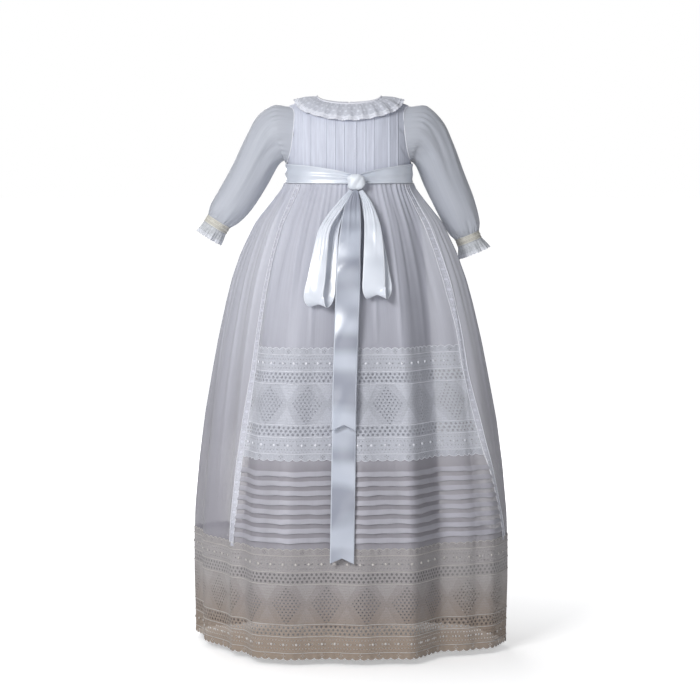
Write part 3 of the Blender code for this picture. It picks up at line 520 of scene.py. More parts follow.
@dataclass(frozen=True)
class Organza:
    """Sheer crisp cloth with fine upright streaks.

    Attributes:
        name: The material's name.
        light: Its colour where threads lie close.
        shade: Its colour where they lie open.
        cover: How much it hides of what lies behind it.
        streak: How far cover changes from streak to streak.
        gap: Its colour between tucks: painted shade, as of the shaded inside seen through one layer, where
            the mesh's own measure of closeness is low.
        low: Its colour far down the skirt, where less light reaches it.
    """

    name: str
    light: Colour
    shade: Colour
    cover: float
    streak: float
    gap: Colour | None = None
    low: Colour | None = None

    def make(self) -> bpy.types.Material:
        """Build the material."""
        recipe = Recipe(self.name)
        across, down = recipe.flat()
        broad = recipe.noise(across * 0.022, down * 0.004, 2.0)
        fine = recipe.noise(across * 0.45, down * 0.006, 3.0)
        threads = recipe.noise(across * 3.1, down * 3.1, 1.0)
        mixed = broad * 0.65 + fine * 0.35
        cover = (mixed - 0.5) * self.streak + self.cover + (threads - 0.5) * 0.05
        # Painted light and shade: the fold measure raises cover where layers lie denser, lightens ridges and
        # flanks and darkens the valleys.
        fold = recipe.measure("fold")
        cover = cover + fold * 0.22
        tone = (mixed.ramp(0.34, 0.66) * 0.35 + 0.33 + fold).math("MAXIMUM", 0.0, clamp=True)
        colour = recipe.blend(tone, self.shade, self.light)
        if self.low:
            colour = recipe.mix(down.ramp(90.0, 740.0), colour, (*self.low, 1.0))
        # Painted shade between the tucks: the gap colour darkens the single layer; where the tucks' layers
        # lie stacked, cover rises.
        if self.gap:
            close = recipe.measure("close")
            cover = cover + close * (0.94 - self.cover)
            colour = recipe.mix(close, (*self.gap, 1.0), colour)
        recipe.relief(fine * 0.6 + threads * 0.4, 0.15, 0.3)
        return recipe.dress(
            Base_Color=colour, Roughness=0.55, Sheen_Weight=0.2, Sheen_Roughness=0.4,
            Alpha=cover.held(),
        )


@dataclass(frozen=True)
class LaceCloth:
    """Wide lace, worked to one chart: a bead row, a mesh row, and mesh diamonds between ribbed figures.

    The chart is symmetric about the lace's middle. Across is measured along the lace, and down from its
    middle, in mm. Each net's three sizes are the pitch of its holes, the height of its rows and the radius
    of a hole.

    Attributes:
        name: The material's name.
        dense: Colour of the close work.
        ground: Colour of the open ground.
        foot: Colour of the ground at the lower edge; on the hem, painted shade, darker and browner.
        cover: How much the open ground hides.
        openness: How clear the holes are.
        foot_shade: How far the close work takes the foot's colour at the lower edge, as painted shade.
        shade: How far the mesh's holes darken, as over a shaded inside.
    """

    name: str
    dense: Colour
    ground: Colour
    foot: Colour
    cover: float
    openness: float = 0.8
    foot_shade: float = 0.0
    shade: float = 0.0
    repeat: float = 64.0
    diamond_half: float = 25.0
    centre_half: float = 31.0
    diamond_net: tuple[float, float, float] = (6.4, 4.7, 1.35)
    mesh_from: float = 33.5
    mesh_rows: int = 3
    mesh_net: tuple[float, float, float] = (7.5, 5.4, 2.0)
    beads_from: float = 53.0
    beads_to: float = 75.0
    pricks_from: float = 54.5
    prick_net: tuple[float, float, float] = (5.125, 4.5, 0.85)
    bead_pitch: float = 20.5
    bead_row: float = 63.5
    eyelet_off: float = 5.2
    cluster_pitch: float = 30.75
    cluster_shift: float = 15.4
    cluster_row: float = 81.6
    cluster_ring: float = 2.6
    # Painted shade of the gown's shaded inside, which the mesh's holes take: dark grey, and dark brown at
    # the foot.
    inside: Colour = (0.17, 0.165, 0.17)
    inside_shade_foot: Colour = (0.055, 0.035, 0.025)

    def make(self) -> bpy.types.Material:
        """Build the material."""
        recipe = Recipe(self.name)
        across, down = recipe.flat()
        out = abs(down)
        side = abs(centred(across, self.repeat))
        gap = self.repeat / 2 - side
        centre = out.below(self.centre_half)
        diamond = (side / self.diamond_half + out / (self.centre_half + 2.0)).ramp(1.02, 0.94) * centre
        figure = (gap - (out - 4.0) * 0.62).ramp(0.8, -0.8) * out.ramp(3.0, 6.0) * centre * (1.0 - diamond)
        lens = centre * (1.0 - diamond) * (1.0 - figure)
        mesh_to = self.mesh_from + self.mesh_rows * self.mesh_net[1]
        mesh_band = out.ramp(self.mesh_from - 0.3, self.mesh_from) * out.ramp(mesh_to + 0.3, mesh_to)
        mesh = holes(across, out - self.mesh_from, *self.mesh_net) * mesh_band
        net = holes(across, down, *self.diamond_net) * diamond
        starts = out.ramp(self.beads_from, self.beads_from + 1.0)
        beads = starts * out.ramp(self.beads_to, self.beads_to - 1.0)
        rise = out - self.bead_row
        pricks = holes(across, out - self.pricks_from, *self.prick_net) * beads * abs(rise).ramp(4.0, 5.0)
        beside = abs(centred(across, self.bead_pitch)) - self.eyelet_off
        eyelets = (beside * beside + rise * rise).root().ramp(1.5, 1.0) * beads
        cluster_x = abs((across + self.cluster_shift) % self.cluster_pitch - self.cluster_shift)
        cluster_y = abs(out - self.cluster_row)
        around = cluster_x + cluster_y
        cluster = abs(around - self.cluster_ring).ramp(1.1, 0.6) * around.below(4.2)
        corner = (cluster_x * cluster_y).below(1.1)
        open_work = (mesh + net + pricks + eyelets + cluster * corner * 0.9).capped()
        grain = recipe.noise(across * 0.5, down * 0.5, 4.0)
        worn = recipe.noise(across * 0.05, down * 0.4, 2.0)
        ribs = (down * (2 * pi / 4.2) + worn * 9.0).sine() * 0.5 + 0.5
        close = (figure * 0.66 + lens * 0.44 + diamond * 0.38 + (1.0 - centre) * 0.45).capped()
        cover = self.cover + close * (0.97 - self.cover) - ribs * centre * 0.14 + (grain - 0.5) * 0.3
        low = down.ramp(60.0, -84.0)
        thick = (close + (ribs - 0.5) * centre * 0.5 + (grain - 0.5) * 0.9).held()
        ground = recipe.blend(low, self.ground, self.foot)
        worked = recipe.mix(thick, ground, recipe.blend(low * self.foot_shade, self.dense, self.foot))
        # Painted shade: the mesh's holes take the inside's dark colour and are less clear.
        shaded = (mesh + net) * self.shade
        inside = recipe.blend(low, self.inside, self.inside_shade_foot)
        recipe.relief((1.0 - open_work) * (close * 0.5 + ribs * centre * 0.35 + grain * 0.3), 0.6, 0.6)
        return recipe.dress(
            Base_Color=recipe.mix(shaded, worked, inside), Roughness=0.8, Sheen_Weight=0.15,
            Alpha=(cover * (1.0 - (open_work - shaded * 0.72) * self.openness)).held(),
        )


@dataclass(frozen=True)
class FineLace:
    """Narrow fine lace: a soft net, faint sprigs, and closer work towards its edge.

    Attributes:
        name: The material's name.
        dense: Colour of the close work.
        ground: Colour of the net.
        cover: How much the net hides.
        edge_from: How far down the closer work of the edge starts, mm.
        net, sprigs: The pitch and the row height of the net's holes and of the sprigs, mm.
    """

    name: str
    dense: Colour
    ground: Colour
    cover: float
    edge_from: float = 1000.0
    net: tuple[float, float] = (2.6, 2.4)
    sprigs: tuple[float, float] = (14.0, 8.0)

    def make(self) -> bpy.types.Material:
        """Build the material."""
        recipe = Recipe(self.name)
        across, down = recipe.flat()
        grain = recipe.noise(across * 0.35, down * 0.35, 3.0)
        x, y = staggered(across, down, *self.net)
        net = (x * x + y * y).root().ramp(0.95, 0.6)
        x, y = staggered(across, down, *self.sprigs)
        sprig = (x * x * 0.5 + y * y).root().ramp(2.6, 1.4)
        edge = down.ramp(self.edge_from, self.edge_from + 0.8)
        close = (sprig * 0.3 + edge * 0.75 + grain * 0.35).capped()
        cover = self.cover + close * 0.15 - net * (1.0 - sprig) * 0.28 + (grain - 0.5) * 0.2
        recipe.relief(close * 0.6 + (1.0 - net) * 0.4, 0.3, 0.4)
        return recipe.dress(
            Base_Color=recipe.blend(close, self.ground, self.dense), Roughness=0.8, Sheen_Weight=0.15,
            Alpha=cover.held(),
        )


@dataclass(frozen=True)
class PlainCloth:
    """Close matt cloth with a fine weave and slight variation."""

    name: str
    light: Colour
    shade: Colour
    roughness: float = 0.8
    weave: float = 0.9
    stripe: float = 0.03

    def make(self) -> bpy.types.Material:
        """Build the material."""
        recipe = Recipe(self.name)
        across, down = recipe.flat()
        blotch = recipe.noise(across * self.stripe, down * 0.008, 3.0)
        warp = (across * (2 * pi / self.weave)).sine() * (down * (2 * pi / self.weave)).sine()
        slub = recipe.noise(across * 1.2, down * 0.05, 2.0)
        recipe.relief(warp * 0.25 + 0.5 + slub * 0.5, 0.15, 0.35)
        return recipe.dress(
            Base_Color=recipe.blend((blotch * 0.7 + slub * 0.3).ramp(0.3, 0.7), self.shade, self.light),
            Roughness=self.roughness, Sheen_Weight=0.2,
        )


@dataclass(frozen=True)
class Satin:
    """Ribbon satin: glossy across its face, with painted sheen in broad lighter and darker zones, and a
    paler selvedge at each edge.
    """

    name: str
    light: Colour
    shade: Colour
    edge: Colour
    half: float = 18.5

    def make(self) -> bpy.types.Material:
        """Build the material."""
        recipe = Recipe(self.name)
        across, down = recipe.flat()
        sway = recipe.noise(across * 0.006, down * 0.017, 1.0)
        floats = recipe.noise(across * 0.5, down * 6.0, 2.0)
        edge = abs(across).ramp(self.half - 1.5, self.half - 0.9)
        recipe.relief(floats * 0.5 + edge * 0.5, 0.12, 0.4)
        # Painted sheen: broad noise zones blend the shade and light colours.
        body = recipe.blend(sway.ramp(0.38, 0.62), self.shade, self.light)
        return recipe.dress(
            Base_Color=recipe.mix(edge * 0.7, body, (*self.edge, 1.0)),
            Roughness=0.20 + floats * 0.10 + edge * 0.25,
            Sheen_Weight=0.15, Specular_IOR_Level=0.9, Coat_Weight=0.25, Coat_Roughness=0.28,
        )


@dataclass(frozen=True)
class Thread:
    """Twisted cotton of cords, stitches and beads, or the pearl of buttons."""

    name: str
    colour: Colour
    roughness: float = 0.75
    coat: float = 0.0

    def make(self) -> bpy.types.Material:
        """Build the material."""
        recipe = Recipe(self.name)
        place = recipe.node("ShaderNodeTexCoord").outputs["Object"]
        noise = recipe.node("ShaderNodeTexNoise", None, {"Vector": place, "Scale": 900.0})
        grain = Field(recipe, noise.outputs[0])
        tone = tuple(value * 0.9 for value in self.colour)
        recipe.relief(grain, 0.1, 0.3)
        return recipe.dress(
            Base_Color=recipe.blend(grain, tone, self.colour),
            Roughness=self.roughness, Coat_Weight=self.coat,
        )


Wardrobe = dict[str, bpy.types.Material]

FINISHES = (
    Organza("organza", (0.69, 0.71, 0.80), (0.52, 0.53, 0.61), 0.72, 0.16, low=(0.30, 0.29, 0.335)),
    # The tucked front's organza: a darker copy of the organza, painted shade of the lower front.
    Organza(
        "shaded_tucked_organza", (0.44, 0.435, 0.49), (0.37, 0.365, 0.41), 0.74, 0.14, gap=(0.33, 0.315, 0.35),
    ),
    Organza("sleeve_organza", (0.56, 0.59, 0.66), (0.42, 0.44, 0.50), 0.80, 0.16),
    PlainCloth("bodice_organza", (0.62, 0.65, 0.75), (0.50, 0.52, 0.61), 0.65, 0.9, 0.22),
    PlainCloth("slip_batiste", (0.72, 0.73, 0.81), (0.52, 0.53, 0.61)),
    LaceCloth("band_lace", (0.64, 0.66, 0.73), (0.42, 0.43, 0.48), (0.42, 0.43, 0.48), 0.78, 0.65),
    # The hem's lace: a darker, browner copy of the band's lace, painted shade of the low hem and its shaded
    # inside.
    LaceCloth(
        "hem_lace", (0.47, 0.45, 0.46), (0.27, 0.25, 0.255), (0.27, 0.20, 0.145), 0.84, 0.66,
        foot_shade=0.85, shade=0.9,
    ),
    FineLace("collar_lace", (0.72, 0.74, 0.81), (0.56, 0.58, 0.65), 0.90, 28.0),
    FineLace("ruffle_lace", (0.66, 0.68, 0.73), (0.50, 0.52, 0.55), 0.90, 14.0),
    FineLace("strip_lace", (0.66, 0.67, 0.75), (0.54, 0.55, 0.63), 0.86),
    FineLace("cream_lace", (0.66, 0.65, 0.60), (0.54, 0.52, 0.47), 0.95),
    Satin("satin", (0.68, 0.72, 0.80), (0.54, 0.58, 0.66), (0.74, 0.78, 0.84)),
    # Lit and shaded copies of the satin: the loops painted lighter, as lit from the left and front, the
    # tails painted darker.
    Satin("lit_loop_satin", (0.78, 0.82, 0.90), (0.66, 0.70, 0.78), (0.82, 0.85, 0.91)),
    Satin("shaded_tail_satin", (0.50, 0.54, 0.63), (0.29, 0.31, 0.38), (0.56, 0.60, 0.68)),
    Thread("cord", (0.78, 0.79, 0.85)),
    # The hem's cord: a darker, browner copy of the cord, painted shade of the low hem.
    Thread("hem_cord", (0.58, 0.555, 0.54)),
    Thread("cream_cord", (0.70, 0.69, 0.63)),
    Thread("pearl", (0.80, 0.78, 0.74), 0.2, 0.8),
)

Surface = Callable[[Array, Array], tuple[Array, Array]]


def finish_mesh(name: str, bm: bmesh.types.BMesh, finish: bpy.types.Material) -> bpy.types.Object:
    """Turn a bmesh into an object with one finish, shaded smooth, and put it in the scene."""
    mesh = bpy.data.meshes.new(name)
    bm.to_mesh(mesh)
    bm.free()
    mesh.materials.append(finish)
    mesh.shade_smooth()
    made = bpy.data.objects.new(name, mesh)
    bpy.context.scene.collection.objects.link(made)
    return made


def lay_cloth(
    name: str, columns: int, rows: int, surface: Surface, finish: bpy.types.Material, thick: float = 0.0,
    wrap: bool = False,
) -> bpy.types.Object:
    """Make one cloth from a flat grid that a surface function shapes.

    Args:
        name: The piece's name.
        columns: Squares across.
        rows: Squares down.
        surface: Takes grids of shares across and down, and returns points and flat places, in mm.
        finish: The cloth's material.
        thick: Thickness of the cloth, mm, or 0 for a single sheet.
        wrap: Whether the last column meets the first.

    Returns:
        The piece.
    """
    points, flat = surface(*share_grid(columns, rows))
    flat = flat[::-1].reshape(-1, 2) * MM
    bm = bmesh.new()
    bm.loops.layers.uv.new("flat")
    bmesh.ops.create_grid(bm, x_segments=columns, y_segments=rows, size=0.5, calc_uvs=True)
    made = finish_mesh(name, bm, finish)
    mesh = made.data
    corners = np.empty(len(mesh.loops), dtype=np.int32)
    mesh.loops.foreach_get("vertex_index", corners)
    mesh.uv_layers["flat"].data.foreach_set("uv", flat[corners].ravel())
    mesh.vertices.foreach_set("co", (points[::-1] * MM).ravel())
    mesh.update()
    if wrap:
        bm = bmesh.new()
        bm.from_mesh(mesh)
        bmesh.ops.remove_doubles(bm, verts=bm.verts, dist=MERGE)
        bm.to_mesh(mesh)
        bm.free()
    if thick:
        shell = made.modifiers.new("cloth", "SOLIDIFY")
        shell.thickness = thick * MM
        shell.offset = -1.0
    return made


def lay_cords(
    name: str, paths: Sequence[Array], radius: float, finish: bpy.types.Material, sides: int = 6,
    twist: float = 0.0,
) -> bpy.types.Object:
    """Make round cords along paths, each tapered shut at its ends.

    Args:
        name: The piece's name.
        paths: A run of points for each cord, mm.
        radius: The cord's radius, mm.
        finish: The cord's material.
        sides: Sides of its section.
        twist: How far the radius swells and thins along it, as a share, like a twisted or picot cord.

    Returns:
        The piece.
    """
    bm = bmesh.new()
    for path in paths:
        along = unit(np.gradient(path, axis=0))
        side = unit(np.cross(along, np.array([0.13, 0.21, 0.97])))
        up = np.cross(along, side)
        count = len(path)
        turn = np.linspace(0.0, 2 * pi, sides + 1)[:, None, None]
        size = radius * (1.0 + twist * np.cos(np.arange(count) * pi))
        size[[0, -1]] = 0.0
        ring = path[None] + (side[None] * np.cos(turn) + up[None] * np.sin(turn)) * size[None, :, None]
        grid = bmesh.ops.create_grid(bm, x_segments=count - 1, y_segments=sides, size=0.5)
        for vertex, point in zip(grid["verts"], ring.reshape(-1, 3) * MM):
            vertex.co = point
    bmesh.ops.remove_doubles(bm, verts=bm.verts, dist=MERGE)
    bmesh.ops.recalc_face_normals(bm, faces=bm.faces)
    return finish_mesh(name, bm, finish)


def lay_beads(
    name: str, points: Array, outs: Array, radius: float, finish: bpy.types.Material, flat: float = 0.55,
) -> bpy.types.Object:
    """Make small flattened beads on a cloth.

    Args:
        name: The piece's name.
        points: A place for each bead, mm.
        outs: The outward direction at each place.
        radius: A bead's radius, mm.
        finish: The beads' material.
        flat: How thick a bead is, as a share of its width.

    Returns:
        The piece.
    """
    bm = bmesh.new()
    for point, out in zip(points, outs):
        turned = Vector(out).to_track_quat("Z", "Y").to_matrix().to_4x4()
        place = Matrix.Translation(Vector(point * MM)) @ turned @ Matrix.Diagonal((1.0, 1.0, flat, 1.0))
        bmesh.ops.create_uvsphere(bm, u_segments=8, v_segments=5, radius=radius * MM, matrix=place)
    return finish_mesh(name, bm, finish)


def hold_measure(piece: bpy.types.Object, name: str, values: Array) -> None:
    """Keep a number at each point of a cloth, from a grid whose first row is its top."""
    piece.data.attributes.new(name, "FLOAT", "POINT").data.foreach_set("value", values[::-1].ravel())


def hand_over(piece: bpy.types.Object, slot: str, *nodes: str) -> bpy.types.Object:
    """Put a piece on the gown's body, and let it stand for the solids it replaces."""
    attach(piece, "root")
    if nodes:
        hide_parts(*nodes)
    log.info("%s: %d faces", piece.name, len(piece.data.polygons))
    return piece


def hand_over_sheet(
    cloth: bpy.types.Object, slot: str, node: str,
    trims: Sequence[bpy.types.Object] = (),
) -> None:
    """Hand over a cloth and the trims sewn to it.

    Args:
        cloth: The cloth.
        slot: The slot of the cloth and its trims; not used.
        node: The solid that the cloth replaces.
        trims: Its cords, beads and other trims.
    """
    hand_over(cloth, slot, node)
    for trim in trims:
        hand_over(trim, slot)


class Panel(Enum):
    """The stretches of the skirt, from the front panel towards +X and round."""

    FRONT = "front"
    STRIP_RIGHT = "strip_right"
    RIGHT = "right"
    BACK = "back"
    LEFT = "left"
    STRIP_LEFT = "strip_left"


@dataclass(frozen=True)
class SkirtForm:
    """The skirt's form, which its panels, laces and cords share."""

    half_width: float = 99.0
    front: float = 68.0
    back: float = 64.0
    ease: float = 3.3
    spread_soften: float = 9.0
    seam_soften: float = 12.0
    waist_z: float = -133.3
    hem_z: float = -876.0
    lace_top_z: float = -700.0
    band_top_z: float = -387.0
    band_bottom_z: float = -563.0
    fold_grows_over: float = 260.0
    gather: float = 1.2
    gather_count: int = 84
    gather_fade_z: float = -330.0
    strip_width: float = 11.0
    back_turn: float = 130.0

    def outline(self, turn: Array) -> tuple[Array, Array]:
        """The hem's outline at a turn, on a smooth closed curve; returns x and y."""
        turns = np.array([row[0] for row in HEM_PLAN], float)
        spots = np.array([row[1:] for row in HEM_PLAN], float)
        spots = np.concatenate([spots[-2:-1], spots, spots[1:2]])
        row = np.interp(wrapped(turn), turns, np.arange(len(turns), dtype=float)) + 1.0
        placed = smooth_through(spots, row)
        return placed[..., 0], placed[..., 1]

    def fold(self, turn: Array, z: Array) -> Array:
        """How far the broad folds push the cloth out."""
        return fold_heights(SKIRT_FOLDS, turn, z, self.fold_grows_over)

    def gathers(self, turn: Array, z: Array) -> Array:
        """How far the uneven gathers below the waist push the cloth out."""
        fade = np.clip((z - self.gather_fade_z) / (self.waist_z - self.gather_fade_z), 0.0, 1.0) ** 3.0
        around = np.radians(turn)
        drift = 1.9 * np.sin(5 * around + 0.6) + 1.1 * np.sin(13 * around)
        wave = np.sin(self.gather_count * around + drift)
        return self.gather * fade * wave * (0.72 + 0.28 * np.sin(9 * around + 1.0))

    def creases(self, turn: Array, z: Array) -> Array:
        """How far the narrow creases push the cloth out."""
        return crease_heights(SKIRT_CREASES, wrapped(turn), z, SKIRT_CREASE_SCALE)

    def fold_cover_and_shading(self, turn: Array, z: Array) -> Array:
        """How much lighter the sheer cloth is painted at a place than flat cloth, and how much more it
        covers: painted light on ridges and flanks, painted shade in the valleys.
        """
        step = 0.5
        height = self.fold(turn, z)
        crease = self.creases(turn, z) + self.gathers(turn, z) * 0.5
        flank = np.abs(self.fold(turn + step, z) - self.fold(turn - step, z)) / step
        return np.clip(height * 0.05 + crease * 0.11 + flank * 0.14, -0.45, 0.55)

    def surface(self, turn: Array, z: Array, lift: float | Array = 0.0, fine: bool = True) -> Array:
        """Points of the skirt's outer face.

        Args:
            turn: Degrees from the front middle towards +X.
            z: Height.
            lift: How far out from the face.
            fine: Whether the gathers and narrow creases are there.

        Returns:
            The points.
        """
        spread = read_table(SPREAD, z, 1, self.spread_soften)
        waist = (size + self.ease for size in (self.half_width, self.front, self.back))
        waist_x, waist_y = oval(turn, *waist)
        hem_x, hem_y = self.outline(turn)
        x = waist_x * (1 - spread) + hem_x * spread
        y = waist_y * (1 - spread) + hem_y * spread
        radius = np.hypot(x, y)
        out = self.fold(turn, z) + lift
        if fine:
            out = out + self.gathers(turn, z) + self.creases(turn, z)
        grow = 1 + out / radius
        return np.stack([x * grow, y * grow, z + 0 * x], axis=-1)

    def strip_half(self, turn: Array, z: Array) -> Array:
        """Half the upright strip's width as a turn."""
        step = 2.0
        ahead = self.surface(turn + step, z, fine=False) - self.surface(turn - step, z, fine=False)
        return self.strip_width * step / np.hypot(ahead[..., 0], ahead[..., 1])

    def edges(self, panel: Panel, z: Array) -> tuple[Array, Array]:
        """The turns at which a panel starts and ends, at a height."""
        left, right = (read_table(FRONT_SEAMS, z, column, self.seam_soften) for column in (1, 2))
        half_left, half_right = self.strip_half(left, z), self.strip_half(right, z)
        back = np.full(np.shape(z), self.back_turn)
        return {
            Panel.FRONT: (left + half_left, right - half_right),
            Panel.STRIP_RIGHT: (right - half_right, right + half_right),
            Panel.RIGHT: (right + half_right, back),
            Panel.BACK: (back, 360.0 - back),
            Panel.LEFT: (360.0 - back, 360.0 + left - half_left),
            Panel.STRIP_LEFT: (360.0 + left - half_left, 360.0 + left + half_left),
        }[panel]

    def turns(self, panel: Panel, across: Array, z: Array) -> Array:
        """The turn at a share of the way across a panel, at a height."""
        start, end = self.edges(panel, z)
        return start + (end - start) * across

    def flat_across(self, panel: Panel, across: Array, z: float) -> Array:
        """Distance along a panel at one height, from the middle of it, mm."""
        steps = np.linspace(0.0, 1.0, 200)
        heights = np.full(steps.shape, z)
        run = run_length(self.surface(self.turns(panel, steps, heights), heights, fine=False))
        return np.interp(across, steps, run) - run[-1] / 2

    def panel_width(self, panel: Panel, z: float) -> float:
        """How wide a panel lies at a height, mm."""
        return float(self.flat_across(panel, np.array([1.0]), z)[0] * 2)


@dataclass
class Skirt:
    """The skirt: organza panels, the front's lace band and tucks, upright strips and the wide hem lace."""

    form: SkirtForm
    wardrobe: Wardrobe
    under_lace: float = 9.0
    tuck_top_z: float = -580.0
    tucks: int = 8
    tuck_pitch: float = 14.8
    tuck_depth: float = 7.4
    tuck_rise: float = 2.0
    tucked_columns: int = 210
    scallop_pitch: float = 12.3
    scallop_depth: float = 3.4
    header: float = 77.0
    lace_half: float = 88.0
    lace_lift: float = 0.45
    lace_rows: int = 46
    cord_levels: tuple[float, ...] = (31.8, 51.2, 77.0)
    bead_level: float = 63.5
    bead_pitch: float = 20.5
    waist_gather: float = 1.5
    slack: float = 1.02
    band_start: float = 14.0

    def panel_cut(self, panel: Panel, top: float, bottom: float) -> tuple[tuple[float, float], float]:
        """The flat size and area in m that a panel was cut to, with half again at the waist to gather."""
        top_cut = self.form.panel_width(panel, top) * self.waist_gather
        bottom_cut = self.form.panel_width(panel, bottom)
        width = max(top_cut, bottom_cut) * MM
        length = (top - bottom) * self.slack * MM
        return (width, length), min((top_cut + bottom_cut) / 2 * MM * length, width * length)

    def panel(
        self, side: str, panel: Panel, bottom: float, columns: int, rows: int, hangs_from: str,
    ) -> None:
        """One organza panel from the waist down, which runs on a little behind the lace below it.

        Args:
            side: The panel's name within its solid's name.
            panel: The stretch of skirt that it covers.
            bottom: Height of the upper edge of the lace below it.
            columns: Squares across.
            rows: Squares down.
            hangs_from: The piece that it hangs from; not used.
        """
        form = self.form
        top = form.waist_z

        def place(across: Array, down: Array) -> tuple[Array, Array]:
            z = top + (bottom - self.under_lace - top) * down
            return form.turns(panel, across, z), z

        def surface(across: Array, down: Array) -> tuple[Array, Array]:
            turn, z = place(across, down)
            tucked_in = 0.5 * np.clip((bottom + 2.0 - z) / 3.0, 0.0, 1.0)
            flat = np.stack([form.flat_across(panel, across, bottom), -z], axis=-1)
            return form.surface(turn, z, -tucked_in), flat

        piece = lay_cloth(f"skirt_{side}_cloth", columns, rows, surface, self.wardrobe["organza"])
        # The fold measure: added cover, painted light on ridges and flanks, painted shade in the valleys.
        hold_measure(piece, "fold", form.fold_cover_and_shading(*place(*share_grid(columns, rows))))
        flat, area = self.panel_cut(panel, top, bottom)
        hand_over_sheet(piece, "organza", f"skirt_{side}")

    def tucked_panel(self) -> None:
        """The lower front, one run of cloth folded into tucks that each lie down over the cloth below."""
        form = self.form
        rise, depth = self.tuck_rise, self.tuck_depth
        levels: list[tuple[float, float]] = [
            (form.band_bottom_z + self.under_lace, -0.5), (form.band_bottom_z - 1.0, -0.4),
        ]
        for k in range(self.tucks):
            top = self.tuck_top_z - k * self.tuck_pitch
            foot = top - depth
            levels += [
                (top + 1.0, 0.0), (top, 0.25), (top - depth * 0.5, rise * 0.8), (foot + 0.6, rise),
                (foot, rise - 0.25), (foot + 0.6, rise - 0.5), (top - depth * 0.4, rise * 0.45),
                (top - 0.9, 0.0), (foot, 0.0),
            ]
        levels += [(form.lace_top_z, -0.3), (form.lace_top_z - self.under_lace, -0.5)]
        heights = np.array([level[0] for level in levels])
        rises = np.array([level[1] for level in levels])
        run = run_length(np.stack([heights, rises], axis=-1))

        def surface(across: Array, down: Array) -> tuple[Array, Array]:
            row = down * (len(levels) - 1)
            z = np.interp(row, np.arange(len(levels)), heights)
            rise = np.interp(row, np.arange(len(levels)), rises)
            sway = 0.5 * np.sin(across * 37.0 + z * 0.05) + 0.4 * np.sin(across * 83.0 + z * 0.11)
            z = z + sway * (rise > 0.1)
            turn = form.turns(Panel.FRONT, across, z)
            flat_x = form.flat_across(Panel.FRONT, across, form.lace_top_z)
            flat = np.stack([flat_x, np.interp(row, np.arange(len(levels)), run)], axis=-1)
            return form.surface(turn, z, rise), flat

        columns, finish = self.tucked_columns, self.wardrobe["shaded_tucked_organza"]
        piece = lay_cloth("skirt_front_tucked_cloth", columns, len(levels) - 1, surface, finish)
        # Closeness: 1 where the tucks' layers lie stacked, low between them, where the gap colour paints
        # shade.
        doubled = np.array([1.0 if rise > 0.2 else 0.4 * (rise < 0.0) for rise in rises])
        across, z = np.meshgrid(np.linspace(0.0, 1.0, columns + 1), heights)
        hold_measure(piece, "close", np.repeat(doubled[:, None], columns + 1, axis=1))
        # The fold measure: added cover, painted light on ridges and flanks, painted shade in the valleys.
        hold_measure(piece, "fold", form.fold_cover_and_shading(form.turns(Panel.FRONT, across, z), z))
        width = form.panel_width(Panel.FRONT, form.lace_top_z) * MM
        hand_over_sheet(piece, "organza", "skirt_front_tucked")

    def scalloped(self, level: Array, along: Array) -> Array:
        """Move the levels past the header so that the lace's edges end in scallops."""
        edge = np.abs(np.sin(pi * along / self.scallop_pitch)) ** 0.7
        cut = 1.0 - self.scallop_depth * (1.0 - edge) / (self.lace_half - self.header)
        past = np.abs(level) - self.header
        return np.where(past > 0, np.sign(level) * (self.header + past * cut), level)

    def lace(
        self, node: str, panels: Sequence[Panel], middle: float, columns: int, yarn: str, start: float,
        above: str,
    ) -> float:
        """A stretch of the wide lace with its cords, beads and scalloped edges.

        Args:
            node: The solid that the lace stands for.
            panels: The stretches of skirt that it crosses.
            middle: Height of the lace's middle.
            columns: Squares along it.
            yarn: "hem_" for the hem's lace and cord, painted darker and browner as shade, or nothing for the
                band's white yarn.
            start: Distance along the whole run of lace at which this stretch starts.
            above: The piece that it hangs from; not used.

        Returns:
            How long the stretch is, mm.
        """
        form = self.form
        steps = np.linspace(0.0, 1.0, 800)
        # The hem's finishes are darker, browner copies of the band's: painted shade.
        lace_finish = self.wardrobe["hem_lace" if yarn else "band_lace"]
        cord = self.wardrobe[yarn + "cord"]

        def turns(across: Array, z: Array) -> Array:
            begin, end = form.edges(panels[0], z)[0], form.edges(panels[-1], z)[1]
            return begin + (np.where(end < begin, end + 360.0, end) - begin) * across

        def place(across: Array, level: Array, out: float | Array) -> Array:
            z = middle + level
            return form.surface(turns(across, z), z, self.lace_lift + out)

        def rows(across: Array, level: float, out: float) -> list[Array]:
            return [place(across, np.full(across.shape, sign * level), out) for sign in (-1, 1)]

        def surface(across: Array, down: Array) -> tuple[Array, Array]:
            level = self.lace_half * (1.0 - 2.0 * down)
            along = start + np.interp(across, steps, run)
            shaped = self.scalloped(level, along)
            past = np.clip((np.abs(level) - self.header) / 8.0, 0.0, 1.0)
            wave = 0.5 * past * np.sin(along * 2 * pi / self.scallop_pitch)
            return place(across, shaped, wave), np.stack([along, shaped], axis=-1)

